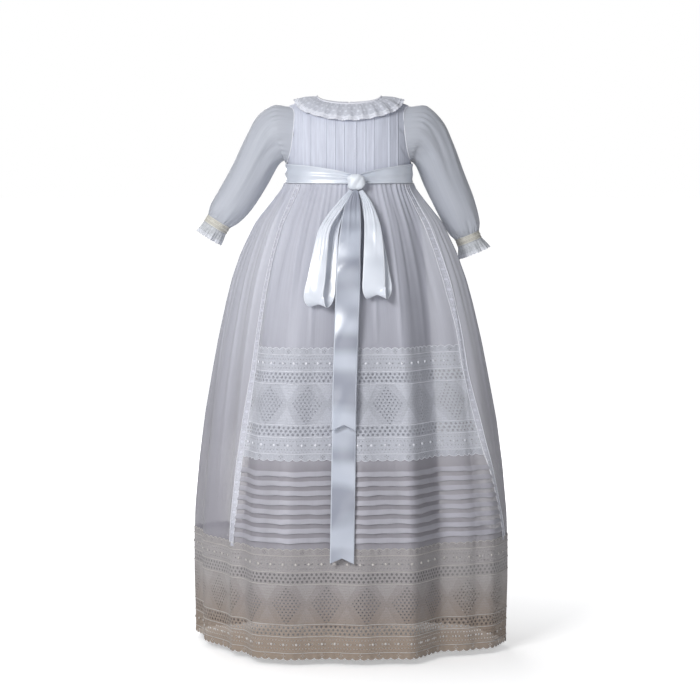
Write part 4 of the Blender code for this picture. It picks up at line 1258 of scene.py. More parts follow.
        fixed = np.full(steps.shape, middle)
        run = run_length(form.surface(turns(steps, fixed), fixed, fine=False))
        cloth = lay_cloth(node + "_cloth", columns, self.lace_rows, surface, lace_finish)
        fine = np.linspace(0.001, 0.999, max(columns, 200))
        paths = [path for level in self.cord_levels for path in rows(fine, level, 0.35)]
        cords = lay_cords(node + "_cords", paths, 0.55, cord, 5)
        dense = np.linspace(0.001, 0.999, columns * 2)
        along = start + np.interp(dense, steps, run)
        edges = [place(dense, self.scalloped(np.full(dense.shape, sign * self.lace_half), along), 0.1)
                 for sign in (-1, 1)]
        picots = lay_cords(node + "_picots", edges, 0.5, cord, 5, 0.25)
        count = int(run[-1] // self.bead_pitch)
        first_bead = np.ceil((start + 4.0) / self.bead_pitch) * self.bead_pitch
        spots = np.interp(first_bead + np.arange(count) * self.bead_pitch - start, run, steps)
        both = np.concatenate(rows(spots[spots < 0.99], self.bead_level, 0.2))
        beads = lay_beads(node + "_beads", both, unit(both * (1.0, 1.0, 0.0)), 2.3, cord)
        width = sum(form.panel_width(panel, middle) for panel in panels)
        hand_over_sheet(cloth, "lace", node, [cords, picots, beads])
        return width

    def strip(self, side: str, panel: Panel) -> None:
        """One upright strip of narrow lace between two cords."""
        form = self.form
        length = form.waist_z - form.lace_top_z

        def surface(across: Array, down: Array) -> tuple[Array, Array]:
            z = form.waist_z - (length + 6.0) * down
            bulge = 0.5 + 0.3 * np.sin(pi * across)
            flat = np.stack([(across - 0.5) * form.strip_width, -z], axis=-1)
            return form.surface(form.turns(panel, across, z), z, bulge), flat

        cloth = lay_cloth(f"lace_strip_{side}_cloth", 8, 150, surface, self.wardrobe["strip_lace"])
        z = np.linspace(form.waist_z - 0.5, form.lace_top_z - 2.0, 240)
        turns = [form.turns(panel, np.full(z.shape, share), z) for share in (0.04, 0.96)]
        paths = [form.surface(turn, z, 0.9) for turn in turns]
        cords = lay_cords(f"lace_strip_{side}_cords", paths, 0.6, self.wardrobe["cord"], 6, 0.12)
        hand_over_sheet(cloth, "lace", f"lace_strip_{side}", [cords])

    def build(self) -> None:
        """Make every piece of the skirt, and the hem lace as one run all round in four stretches."""
        form = self.form
        self.panel("front_upper", Panel.FRONT, form.band_top_z, 200, 70, "sash_left_cloth")
        self.tucked_panel()
        for side, columns in (("left", 170), ("right", 150), ("back", 190)):
            self.panel(side, Panel(side), form.lace_top_z, columns, 130, f"sash_{side}_cloth")
            if side != "back":
                self.strip(side, Panel(f"strip_{side}"))
        band_middle = (form.band_top_z + form.band_bottom_z) / 2
        above = "skirt_front_upper_cloth"
        self.lace("lace_band_front", [Panel.FRONT], band_middle, 216, "", self.band_start, above)
        hem_middle = (form.lace_top_z + form.hem_z) / 2
        across_front = [Panel.STRIP_LEFT, Panel.FRONT, Panel.STRIP_RIGHT]
        start = 0.0
        for side, panels, columns, above in (
            ("front", across_front, 260, "front_tucked"), ("right", [Panel.RIGHT], 130, "right"),
            ("back", [Panel.BACK], 190, "back"), ("left", [Panel.LEFT], 190, "left"),
        ):
            node, above = f"hem_lace_{side}", f"skirt_{above}_cloth"
            start += self.lace(node, panels, hem_middle, columns, "hem_", start, above)


@dataclass
class Slip:
    """The batiste underskirt that shows through the organza, in a front and a back."""

    form: SkirtForm
    wardrobe: Wardrobe
    hem_z: float = -828.0
    widen: float = 66.0
    deepen: float = 84.0
    drift: float = 18.0
    flutes: int = 10
    flute: float = 3.2
    fold_grows_over: float = 320.0
    cut: tuple[float, float] = (0.47, 0.70)
    cut_area: float = 0.27

    def points(self, turn: Array, z: Array) -> Array:
        """Points of the underskirt's outer face, with the folds that show through."""
        form = self.form
        share = (form.waist_z + 0.3 - z) / (form.waist_z + 0.3 - self.hem_z)
        share = np.clip(share, 0.0, 1.0)
        flute = self.flute * share * np.cos(np.radians(turn) * self.flutes)
        wide = form.half_width - 1.0 + self.widen * share**0.55 + flute
        deep = self.deepen * share**0.75 + flute - 0.8
        x, y = oval(turn, wide, form.front + deep, form.back + deep)
        x = x - self.drift * share**1.5
        fold = fold_heights(SLIP_FOLDS, turn, z, self.fold_grows_over)
        grow = 1 + (fold - 2.0 * share) / np.hypot(x, y)
        return np.stack([x * grow, y * grow, z + 0 * x], axis=-1)

    def stitch_line(self, turn: Array, up: float) -> Array:
        """A line of stitches round the hem, just in front of the cloth."""
        points = self.points(turn, np.full(turn.shape, self.hem_z + up))
        return points + unit(points * (1, 1, 0)) * 0.2

    def build(self) -> None:
        """Make the front, the back and the hem's stitching."""
        top = self.form.waist_z - 0.3
        for side, start in (("front", -90.0), ("back", 90.0)):
            def surface(across: Array, down: Array, start: float = start) -> tuple[Array, Array]:
                z = top + (self.hem_z - top) * down
                flat = np.stack([(across - 0.5) * self.cut[0] / MM, -z], axis=-1)
                return self.points(start + 180.0 * across, z), flat

            piece = lay_cloth(f"underskirt_{side}_cloth", 150, 60, surface, self.wardrobe["slip_batiste"])
            turn = np.linspace(start + 0.2, start + 179.8, 220)
            paths = [self.stitch_line(turn, up) for up in (0.4, 14.0)]
            stitching = lay_cords(f"underskirt_{side}_hem", paths, 0.5, self.wardrobe["cord"], 5, 0.2)
            hand_over_sheet(piece, "batiste", f"underskirt_{side}",
                            [stitching])


@dataclass(frozen=True)
class ChestForm:
    """The bodice's form, which the collar, buttons and sash share."""

    half_width: float = 99.0
    front: float = 68.0
    back: float = 64.0
    dome: float = 66.0
    neck_x: float = 51.0
    neck_z: float = 4.5
    tip_z: float = -11.0
    neck_front_z: float = -8.0
    neck_back_z: float = -5.0
    underarm_z: float = -101.0
    waist_z: float = -133.0
    armhole_half: float = 38.0
    side_seam: float = 0.30

    def shoulder_z(self, x: Array) -> Array:
        """Height of the ridge over the shoulders."""
        along = np.clip((np.abs(x) - self.neck_x) / (self.half_width - self.neck_x), 0.0, 1.0)
        return self.neck_z + (self.tip_z - self.neck_z) * along**1.2

    def surface(self, x: Array, z: Array, side: int) -> Array:
        """Points of the front (side -1) or back (+1) at a width and height."""
        half = self.front if side < 0 else self.back
        below = np.clip((self.shoulder_z(x) - z) / self.dome, 0.0, 1.0)
        round_over = np.sqrt(np.maximum(1.0 - (1.0 - below) ** 2, 0.0))
        across = np.maximum(1.0 - (np.abs(x) / self.half_width) ** CHEST_POWER, 0.0) ** (1 / CHEST_POWER)
        return np.stack([x + 0 * z, side * half * round_over * across, z + 0 * x], axis=-1)

    def top_z(self, x: Array, side: int) -> Array:
        """The neckline inside the neck's width, and the shoulder seam outside it."""
        dip = self.neck_front_z if side < 0 else self.neck_back_z
        curve = np.sqrt(np.maximum(1 - (np.abs(x) / self.neck_x) ** 2, 0.0))
        inside = dip + (self.neck_z - dip) * (1 - curve)
        return np.where(np.abs(x) >= self.neck_x, self.shoulder_z(x), inside)

    def x_at_depth(self, z: Array, depth: Array, side: int) -> Array:
        """The width at which the form is a given depth from the side plane."""
        low, high = np.zeros(z.shape), np.full(z.shape, self.half_width)
        for _ in range(30):
            middle = (low + high) / 2
            inside = np.abs(self.surface(middle, z, side)[..., 1]) > np.abs(depth)
            low, high = np.where(inside, middle, low), np.where(inside, high, middle)
        return (low + high) / 2

    def panel(self, station: Array, up: Array, line: float, side: int) -> Array:
        """Points of a bodice panel.

        Args:
            station: -1 to 1 runs between two upright lines, and on to -2 and 2 at the side edges.
            up: Share of the way up from the waist.
            line: How far the upright lines are from the middle.
            side: -1 for the front, 1 for the back.

        Returns:
            The points.
        """
        sign = np.sign(station)
        beyond = np.clip(np.abs(station) - 1.0, 0.0, 1.0)
        x_in = np.clip(station, -1.0, 1.0) * line
        z_in = self.waist_z + (self.top_z(x_in, side) - self.waist_z) * up
        around = np.clip((up - self.side_seam) / (1 - self.side_seam), 0.0, 1.0)
        seam_z = self.waist_z + (self.underarm_z - self.waist_z) * np.minimum(up / self.side_seam, 1.0)
        hole_z = self.underarm_z + (self.tip_z - self.underarm_z) * (1 - np.cos(pi * around)) / 2
        edge_z = np.where(up <= self.side_seam, seam_z, hole_z)
        depth = self.armhole_half * np.maximum(np.sin(pi * around), 0.0) ** 0.8
        edge_x = np.where(up <= self.side_seam, self.half_width, self.x_at_depth(edge_z, depth, side))
        bend_line = np.arcsin(line / self.half_width)
        bend_edge = np.arcsin(np.clip(edge_x / self.half_width, 0.0, 1.0))
        x_out = sign * self.half_width * np.sin(bend_line + (bend_edge - bend_line) * beyond)
        z_out = z_in + (edge_z - z_in) * beyond
        x = np.where(beyond > 0, x_out, x_in)
        z = np.where(beyond > 0, np.minimum(z_out, self.shoulder_z(x_out)), z_in)
        return self.surface(x, z, side)

    def top_surface(self, x: Array, y: Array) -> Array:
        """Height of the bodice above a place, where it can be seen from above."""
        half = np.where(y < 0, self.front, self.back)
        near = np.minimum(np.abs(x), self.half_width) / self.half_width
        across = np.maximum(1.0 - near**CHEST_POWER, 1e-6) ** (1 / CHEST_POWER)
        dome = np.minimum(np.abs(y) / (half * across), 1.0)
        return self.shoulder_z(x) - self.dome * (1.0 - np.sqrt(1.0 - dome**2))


@dataclass
class Bodice:
    """The pintucked front, the two lapped backs, the seams and the buttons."""

    form: ChestForm
    wardrobe: Wardrobe
    line: float = 81.0
    pintuck_half: float = 0.95
    pintuck_rise: float = 0.9
    placket: float = 8.0
    back_line: float = 84.0
    bend_radius: float = 80.0
    lap: float = 2.0
    button_z: tuple[float, ...] = (-22.0, -62.0, -97.0)
    button_profile: tuple[tuple[float, float], ...] = (
        (0.0, 0.0), (3.6, 0.0), (4.4, 0.5), (4.5, 1.1), (4.0, 1.9), (3.3, 2.0), (2.6, 1.5), (0.0, 1.4),
    )
    front_cut: tuple[float, float] = (0.255, 0.16)
    front_area: float = 0.034
    back_cut: tuple[float, float] = (0.135, 0.16)
    back_area: float = 0.0178

    def stations(self) -> Array:
        """Columns of the front, closest round the pintucks."""
        near = np.array([-2.4, -1.4, -0.9, -0.45, 0.0, 0.45, 0.9, 1.4, 2.4])
        spread = np.linspace(-self.line, self.line, 42)
        inner = np.concatenate([place + near for place in PINTUCKS] + [spread])
        inner = np.unique(np.round(inner[np.abs(inner) <= self.line], 2)) / self.line
        outer = np.linspace(1.04, 2.0, 18)
        return np.concatenate([-outer[::-1], inner, outer])

    def front(self) -> bpy.types.Object:
        """The front, one cloth with its pintucks stitched up and its creases from the armholes."""
        stations = self.stations()
        last = len(stations) - 1

        def surface(across: Array, down: Array) -> tuple[Array, Array]:
            station = np.interp(across * last, np.arange(last + 1), stations)
            points = self.form.panel(station, 1.0 - down, self.line, -1)
            x, z = points[..., 0], points[..., 2]
            out = steady_outward(points)
            raised = np.zeros(x.shape)
            middle = np.abs(station) <= 1.0
            for place in PINTUCKS:
                laced = place == LACED_PINTUCK
                wave = 0.55 * np.sin(z * 1.25) if laced else 0.0
                off = (station * self.line - place - wave) / (self.pintuck_half * (1.5 if laced else 1.0))
                raised = np.maximum(raised, np.clip(1.0 - off**2, 0.0, 1.0) ** 0.7 * middle)
            ends = np.clip(np.minimum(down, 1.0 - down) / 0.04, 0.0, 1.0)
            fold = crease_heights(BODICE_CREASES, x, z)
            lifted = points + out * (raised * self.pintuck_rise * ends + fold * ends)[..., None]
            bend = np.arcsin(np.clip(x / self.form.half_width, -1, 1))
            return lifted, np.stack([bend * self.bend_radius, -z], axis=-1)

        return lay_cloth("bodice_front_cloth", last, 90, surface, self.wardrobe["bodice_organza"])

    def back(self, name: str, sign: int) -> bpy.types.Object:
        """One back, from its lapped edge to its side seam; the one at -X lies under the other."""
        edge = -sign * self.placket / self.back_line

        def surface(across: Array, down: Array) -> tuple[Array, Array]:
            share = across if sign < 0 else 1.0 - across
            inner = edge + (sign - edge) * share / 0.6
            station = np.where(share < 0.6, inner, sign * (1.0 + (share - 0.6) / 0.4))
            points = self.form.panel(station, 1.0 - down, self.back_line, 1)
            x, z = points[..., 0], points[..., 2]
            out = steady_outward(points)
            near = np.clip((3 * self.placket + x) / self.placket, 0.0, 1.0) if sign < 0 else 0.0
            ends = np.clip(np.minimum(down, 1.0 - down) / 0.05, 0.0, 1.0)
            band = 0.35 * np.clip(1.0 - np.abs(np.abs(x) - self.placket) / 1.4, 0.0, 1.0)
            folds = 1.1 * np.sin(x * 0.16 + z * 0.03 + sign) * np.clip((np.abs(x) - 20.0) / 30.0, 0.0, 1.0)
            off = -near * self.lap + (folds + band) * ends
            return points + out * np.asarray(off)[..., None], np.stack([x, -z], axis=-1)

        return lay_cloth(name + "_cloth", 90, 70, surface, self.wardrobe["bodice_organza"])

    def buttons(self) -> None:
        """Three pearl buttons with a raised rim and four holes sewn through."""
        for number, z in enumerate(self.button_z, 1):
            level = np.array([z + 3.0, z - 3.0, z])
            above, below, at = self.form.surface(np.zeros(3), level, 1)
            out = unit(np.cross(above - below, np.array([1.0, 0.0, 0.0])))
            out = out if out[1] > 0 else -out
            turned = Vector(out).to_track_quat("Z", "Y").to_matrix().to_4x4()
            place = Matrix.Translation(Vector((at + out * 0.4) * MM)) @ turned
            bm = bmesh.new()
            rings = [bm.verts.new((radius * MM, 0.0, high * MM)) for radius, high in self.button_profile]
            edges = [bm.edges.new(pair) for pair in zip(rings, rings[1:])]
            bmesh.ops.spin(bm, geom=rings + edges, cent=(0, 0, 0), axis=(0, 0, 1), angle=2 * pi, steps=28,
                           use_merge=True)
            for turn in (45, 135, 225, 315):
                spot = Matrix.Rotation(radians(turn), 4, "Z") @ Matrix.Translation((1.1 * MM, 0, 1.45 * MM))
                bmesh.ops.create_uvsphere(bm, u_segments=8, v_segments=5, radius=0.42 * MM, matrix=spot)
            bmesh.ops.remove_doubles(bm, verts=bm.verts, dist=MERGE)
            bmesh.ops.recalc_face_normals(bm, faces=bm.faces)
            bmesh.ops.transform(bm, matrix=place, verts=bm.verts)
            button = finish_mesh(f"button_{number}_pearl", bm, self.wardrobe["pearl"])
            hand_over(button, "button", f"button_{number}")

    def seams(self) -> bpy.types.Object:
        """Piping round the armholes and along the shoulders."""
        paths = []
        up = np.linspace(self.form.side_seam, 1.0, 40)
        for sign in (-1, 1):
            edge = np.full(up.shape, 2.0 * sign)
            front, back = (self.form.panel(edge, up, self.line, side) for side in (-1, 1))
            paths.append(np.concatenate([front, back[::-1][1:]]) + np.array([0.5 * sign, 0.0, 0.0]))
            x = np.linspace(52.0, 96.0, 24) * sign
            paths.append(np.stack([x, 0 * x, self.form.shoulder_z(x) + 0.2], axis=-1))
        return lay_cords("bodice_seams", paths, 0.8, self.wardrobe["cord"], 6)

    def build(self) -> None:
        """Make every piece of the bodice."""
        slot, held_by = "bodice_organza", "shoulder_hold"
        front, seams = self.front(), self.seams()
        hand_over_sheet(front, slot, "bodice_front", [seams])
        for name, sign in (("bodice_back_left", -1), ("bodice_back_right", 1)):
            back = self.back(name, sign)
            hand_over_sheet(back, slot, name)
        self.buttons()


@dataclass
class Collar:
    """The gathered lace collar that lies out over the shoulders."""

    form: ChestForm
    wardrobe: Wardrobe
    width: float = 36.0
    waves: int = 20
    wave: float = 1.7
    spring: float = 2.6
    opening: float = 0.012
    base_lift: float = 1.6
    cut: float = 560.0
    columns: int = 560
    rows: int = 20
    scallops: int = 96
    steps: int = 4
    reach: float = 0.2
    steepest: float = 12.0

    def base(self, turn: Array, rows: int) -> Array:
        """Lines down the collar from the neckline, each step the same length of cloth."""
        form = self.form
        start_x = form.neck_x * np.sin(turn)
        side = np.where(np.cos(turn) > 0, -1, 1)
        front = form.surface(start_x, form.top_z(start_x, -1), -1)
        back = form.surface(start_x, form.top_z(start_x, 1), 1)
        start = np.where(side[:, None] < 0, front, back)
        neck_depth = abs(form.surface(np.zeros(1), np.full(1, form.neck_front_z), -1)[0, 1])
        away = unit(np.stack([np.sin(turn) / form.neck_x, -np.cos(turn) / neck_depth], axis=-1))
        lines = [start]
        place = start[:, :2].copy()
        count = self.steps * rows
        for step in range(1, count + 1):
            z = form.top_surface(place[:, 0], place[:, 1])
            ahead = place + away * self.reach
            fall = np.abs(form.top_surface(ahead[:, 0], ahead[:, 1]) - z) / self.reach
            level = self.width / count / np.hypot(1.0, np.minimum(fall, self.steepest))
            place = place + away * level[:, None]
            if step % self.steps == 0:
                lines.append(np.column_stack([place, form.top_surface(place[:, 0], place[:, 1])]))
        return np.array(lines)

    def points(self, across: Array, down: Array) -> Array:
        """The collar's outer face on a full grid of shares."""
        turn = (2 * across[0] - 1) * (pi - self.opening)
        points = self.base(turn, self.rows)
        out = even_out(outward(points), self.columns // 60)
        drop = np.clip(down * 2.0, 0.0, 1.0)
        around = across * self.waves
        ripple = self.wave * down * (1 + np.cos(2 * pi * around))
        crimp = np.sin(2 * pi * around * 3.0 + 1.5 * np.sin(2 * pi * around * 0.37))
        fine = 0.35 * (1.0 - 0.6 * down) * crimp * down**0.3
        return points + out * (self.base_lift + self.spring * drop + ripple + fine)[..., None]

    def build(self) -> None:
        """Make the collar, its neck binding and its scalloped edge."""

        def surface(across: Array, down: Array) -> tuple[Array, Array]:
            points = self.points(across, down)
            edge = np.abs(np.sin(pi * across * self.scallops))
            reach = (points[-1] - points[-3])[None] * 0.32
            push = np.clip((down - 0.85) / 0.15, 0.0, 1.0) * (edge - 0.75)
            flat = np.stack([across * self.cut, down * self.width], axis=-1)
            return points + reach * push[..., None], flat

        finish, cord = self.wardrobe["collar_lace"], self.wardrobe["cord"]
        cloth = lay_cloth("collar_cloth", self.columns, self.rows, surface, finish)
        points, _ = surface(*share_grid(self.columns, self.rows))
        up = np.array([0.0, 0.0, 0.5])
        binding = lay_cords("collar_binding", [points[0] + up * 0.4], 1.3, cord, 8)
        edging = lay_cords("collar_edging", [points[-1] + up, points[-4] + up * 0.9], 0.5, cord, 5, 0.2)
        hand_over_sheet(cloth, "lace", "collar", [binding, edging])


@dataclass
class Sleeve:
    """A long full sleeve with its cream cuff band and lace ruffle."""

    form: ChestForm
    wardrobe: Wardrobe
    side: str
    sign: int
    table: Sequence[Sequence[float]]
    flare: float
    girths: tuple[float, float, float] = (230.0, 132.0, 220.0)
    gather: float = 1.8
    gathers: int = 30
    cuff_length: float = 11.0
    ruffle_length: float = 20.0
    ruffle_waves: int = 9
    ruffle_wave: float = 2.0
    sleeve_cut: tuple[float, float] = (0.26, 0.22)
    sleeve_area: float = 0.048
    cuff_cut: tuple[float, float] = (0.134, 0.0115)
    ruffle_cut: tuple[float, float] = (0.20, 0.021)

    def ring(
        self, row: Sequence[float], angle: Array, push: Array | float = 0.0, along: Array | float = 0.0,
    ) -> Array:
        """Points of one section of the sleeve.

        Args:
            row: The section.
            angle: Angles round it from its across direction.
            push: How far out from the section.
            along: How far on down the sleeve from the section.

        Returns:
            The points.
        """
        x, y, z, half_width, half_depth, lean = row
        axis = np.array([self.sign * np.sin(radians(lean)), 0.0, -np.cos(radians(lean))])
        back = np.array([0.0, 1.0, 0.0])
        across = np.cross(axis, back)
        centre = np.array([x, y, z]) + axis * np.asarray(along)[..., None]
        wide = (half_width + push) * np.cos(angle)
        deep = (half_depth + push) * np.sin(angle)
        return centre + across * wide[..., None] + back * deep[..., None]

    def armhole(self, angle: Array) -> Array:
        """The sleeve's first section, which follows the bodice's armhole."""
        form = self.form
        from_top = angle if self.sign > 0 else pi - angle
        z = form.underarm_z + (form.tip_z - form.underarm_z) * (1 + np.cos(from_top)) / 2
        y = np.sign(np.sin(angle)) * form.armhole_half * np.abs(np.sin(angle)) ** 0.8
        x = np.where(y > 0, form.x_at_depth(z, y, 1), form.x_at_depth(z, y, -1))
        return np.stack([self.sign * (x + 0.3), y, z], axis=-1)

    def from_outer(self, angle: Array) -> Array:
        """Degrees from the sleeve's outer edge towards the front, less than nothing at the back."""
        turned = -np.degrees(angle) if self.sign > 0 else np.degrees(angle) - 180.0
        return wrapped(turned)

    def sleeve_points(self, across: Array, down: Array) -> Array:
        """The sleeve's outer face with its gathers and creases."""
        angle = 2 * pi * across[0]
        controls = np.array([self.armhole(angle)] + [self.ring(row, angle) for row in self.table])
        last = len(controls) - 1
        at = down[:, 0] * last
        points = smooth_through(controls, at)
        out = steady_outward(points, wrap=True)
        section = (down * last) - 1.0
        end = last - 1.0
        near_end = np.clip(1.0 - np.minimum(np.abs(section) / 1.4, (end - section) / 1.6), 0.0, 1.0)
        near_end = near_end**3 * np.clip(section + 1.0, 0.0, 1.0)
        drift = 1.9 * np.sin(6 * pi * across) + 1.2 * np.sin(14 * pi * across + 1)
        wave = np.sin(self.gathers * 2 * pi * across + drift) * (0.6 + 0.4 * np.sin(10 * pi * across + 0.4))
        turned = self.from_outer(2 * pi * across)
        fold = crease_heights(SLEEVE_CREASES, turned, section, 22.0) * np.clip(section + 1.0, 0.0, 1.0)
        return points + out * (self.gather * near_end * wave * 0.8 + fold)[..., None]

    def build(self) -> None:
        """Make the sleeve, the cuff band with its cords, and the ruffle."""
        sleeve_girth, cuff_girth, ruffle_girth = self.girths
        end = np.array(self.table[-1], float)
        lengths = run_length(np.array([row[:3] for row in self.table]))
        total = lengths[-1] + 16.0

        def sleeve(across: Array, down: Array) -> tuple[Array, Array]:
            flat = np.stack([across * sleeve_girth, down * total], axis=-1)
            return self.sleeve_points(across, down), flat

        def cuff(across: Array, down: Array) -> tuple[Array, Array]:
            angle = 2 * pi * across
            swell = 0.5 * np.sin(pi * down)
            points = self.ring(end, angle, swell, 0.1 + (self.cuff_length + 0.3) * down)
            return points, np.stack([across * cuff_girth, down * self.cuff_length], axis=-1)

        def ruffle(across: Array, down: Array) -> tuple[Array, Array]:
            angle = 2 * pi * across
            wave = self.ruffle_wave * down * np.cos(2 * pi * self.ruffle_waves * across)
            fine = 0.5 * np.sin(2 * pi * self.ruffle_waves * 3.0 * across + 0.8) * np.sin(pi * down * 0.7)
            scallop = 1.2 * (np.abs(np.sin(pi * across * 26)) - 0.6) * np.clip((down - 0.8) / 0.2, 0.0, 1.0)
            along = self.cuff_length + 0.4 + self.ruffle_length * down + scallop
            points = self.ring(end, angle, self.flare * down + wave + fine, along)
            return points, np.stack([across * ruffle_girth, down * self.ruffle_length], axis=-1)

        side, wardrobe = self.side, self.wardrobe
        cloth = lay_cloth(f"sleeve_{side}_cloth", 150, 90, sleeve, wardrobe["sleeve_organza"], wrap=True)
        band = lay_cloth(f"cuff_{side}_cloth", 72, 6, cuff, wardrobe["cream_lace"], wrap=True)
        frill = lay_cloth(f"cuff_ruffle_{side}_cloth", 216, 16, ruffle, wardrobe["ruffle_lace"], wrap=True)
        angle = np.linspace(0.0, 2 * pi, 120)
        levels = (0.4, self.cuff_length * 0.5, self.cuff_length - 0.2)
        cords = [self.ring(end, angle, 0.5, along) for along in levels]
        rim_path = ruffle(*np.meshgrid(np.linspace(0, 1, 217), np.array([1.0])))[0][0]
        band_cords = lay_cords(f"cuff_{side}_cords", cords, 0.7, wardrobe["cream_cord"], 6, 0.15)
        rim = lay_cords(f"cuff_ruffle_{side}_edging", [rim_path], 0.45, wardrobe["cord"], 5, 0.2)
        hand_over_sheet(cloth, "organza", f"sleeve_{side}")
        hand_over_sheet(band, "cream_lace", f"cuff_{side}",
                        [band_cords])
        hand_over_sheet(frill, "lace", f"cuff_ruffle_{side}", [rim])


@dataclass
class Sash:
    """The satin sash round the waist, drawn together under the bow's knot."""

    form: ChestForm
    wardrobe: Wardrobe
    half: float = 15.4
    bottom_z: float = -132.5
    base: float = 3.0
    crease: float = 1.3
    lift: float = 4.4
    drawn: float = 0.56
    knot_x: float = 11.0
    knot_gap: float = 0.4
    ribbon: float = 37.0
    shown: float = 32.0
    radius: float = 88.0
    slack: float = 1.04

    def points(self, turn: Array, down: Array, tight: Array) -> Array:
        """Points of the sash's outer face."""
        half = self.half * (1 - self.drawn * tight)
        middle = self.bottom_z + half
        wave = (0.4 + 0.6 * tight) * (1 + np.cos(4 * pi * down + 0.5 * np.sin(np.radians(turn) * 3)))
        off = self.base + self.crease * wave + self.lift * tight
        fine = 0.35 * np.sin(6 * pi * down + turn * 0.09) * (0.3 + tight)
        form = self.form
        x, y = oval(turn, form.half_width + off + fine, form.front + off + fine, form.back + off + fine)
        return np.stack([x, y, middle + half * (1 - 2 * down)], axis=-1)

    def stretch(self, name: str, start: float, end: float, columns: int, knot_at: float | None) -> None:
        """One stretch of the sash between two turns, drawn tight towards the knot if it ends there.

        Args:
            name: The solid that it stands for.
            start: The turn at which it starts, in degrees.
            end: The turn at which it ends.
            columns: Squares along it.
            knot_at: The share of its length at which the knot is, if it meets the knot.
        """

        def surface(across: Array, down: Array) -> tuple[Array, Array]:
            turn = start + (end - start) * across
            tight = np.zeros(across.shape) if knot_at is None else (1 - np.abs(across - knot_at)) ** 3
            flat = np.stack([(down - 0.5) * self.ribbon, np.radians(turn) * self.radius], axis=-1)
            return self.points(turn, down, tight), flat

        piece = lay_cloth(name + "_cloth", columns, 32, surface, self.wardrobe["satin"], 0.4)
        hand_over_sheet(piece, "satin", name)

    def build(self) -> None:
        """Make the three stretches."""
        turn = self.knot_x / (self.form.half_width * radians(1))
        self.stretch("sash_left", -90.0, turn - self.knot_gap, 120, 1.0)
        self.stretch("sash_right", turn + self.knot_gap, 90.0, 110, 0.0)
        self.stretch("sash_back", 90.0, 270.0, 160, None)


@dataclass
class Bow:
    """The knot, two loops and two notched tails of satin ribbon."""

    wardrobe: Wardrobe
    knot_at: tuple[float, float, float] = (11.0, -87.35, -130.0)
    knot_half: tuple[float, float, float] = (15.0, 9.0, 13.0)
    curl: float = 1.5
    notch: float = 9.0
    ribbon_half: float = 19.0

    def knot(self) -> None:
        """The knot: a ribbon wrapped over the bow, with folds that run slantwise across it."""
        bm = bmesh.new()
        bmesh.ops.create_uvsphere(bm, u_segments=72, v_segments=48, radius=1.0)
        half_x, half_y, half_z = self.knot_half
        for vertex in bm.verts:
            turn = np.degrees(np.arctan2(vertex.co.x, -vertex.co.y))
            level = float(np.clip(vertex.co.z, -1.0, 1.0))
            size = (1.0 - abs(level) ** 3.2) ** 0.42
            slant = level * 0.7 - np.sin(np.radians(turn)) * 1.1
            ends = 1.0 - level**6
            fold = 0.17 * ends * (np.abs(np.sin(slant * 2.3 + 0.9)) - 0.7)
            face = size - 0.06 + (fold + 0.02 * np.sin(slant * 9.0) * ends)
            x, y = oval(np.array(turn), half_x * face, half_y * face, half_y * size * 0.94)
            vertex.co = (Vector(self.knot_at) + Vector((float(x), float(y), level * half_z))) * MM
        bmesh.ops.recalc_face_normals(bm, faces=bm.faces)
        knot = finish_mesh("bow_knot_satin", bm, self.wardrobe["satin"])
        knot.data.uv_layers.new(name="flat")
        hand_over(knot, "satin", "bow_knot")

    def ribbon(self, name: str, table: Sequence[Sequence[float]], rows: int, notch: float) -> None:
        """One stretch of ribbon down a run of places, pleated where it is drawn into the knot.

        Args:
            name: The solid that it stands for.
            table: The places, from the knot on.
            rows: Squares down.
            notch: How deep the notch of its end is cut, mm, or 0 for a loop.
        """
        controls = np.array(table, float)
        columns = 24

        def surface(across: Array, down: Array) -> tuple[Array, Array]:
            places = smooth_through(controls, down[:, 0] * (len(controls) - 1))
            middle = places[:, :3]
            along = unit(np.gradient(middle, axis=0))
            turn = np.radians(places[:, 4])
            side = np.stack([np.cos(turn), np.sin(turn), 0 * turn], axis=-1)
            side = unit(side - along * (side * along).sum(axis=1, keepdims=True))
            face = np.cross(along, side)
            place = 2 * across - 1
            half = places[:, 3][:, None]
            bunch = np.clip(1.0 - half / 13.0, 0.0, 1.0)
            pleats = 1.2 * bunch * np.cos(5 * pi * place + 2.0 * down)
            creases = crease_heights(RIBBON_CREASES[name], place, down, 4.0)
            lift = self.curl * (1 - place**2) + pleats + creases
            level = middle[:, None] + side[:, None] * (half * place)[..., None]
            points = level + face[:, None] * lift[..., None]
            if notch:
                tail = np.clip((down - 0.93) / 0.07, 0.0, 1.0) * notch * (1 - np.abs(place))
                points = points - along[:, None] * tail[..., None]
            run = run_length(middle)
            return points, np.stack([place * self.ribbon_half, run[:, None] + 0 * place], axis=-1)

        # The tails take the shaded copy of the satin, the loops the lit copy: painted light and shade.
        finish = self.wardrobe["shaded_tail_satin" if notch else "lit_loop_satin"]
        piece = lay_cloth(f"{name}_ribbon", columns, rows, surface, finish, 0.5)
        points, flat = surface(*share_grid(columns, rows))
        hand_over_sheet(piece, "satin", name)

    def build(self) -> None:
        """Make the bow."""
        self.knot()
        self.ribbon("bow_loop_left", LEFT_LOOP, 180, 0.0)
        self.ribbon("bow_loop_right", RIGHT_LOOP, 180, 0.0)
        self.ribbon("tail_short", SHORT_TAIL, 150, self.notch)
        self.ribbon("tail_long", LONG_TAIL, 220, self.notch)


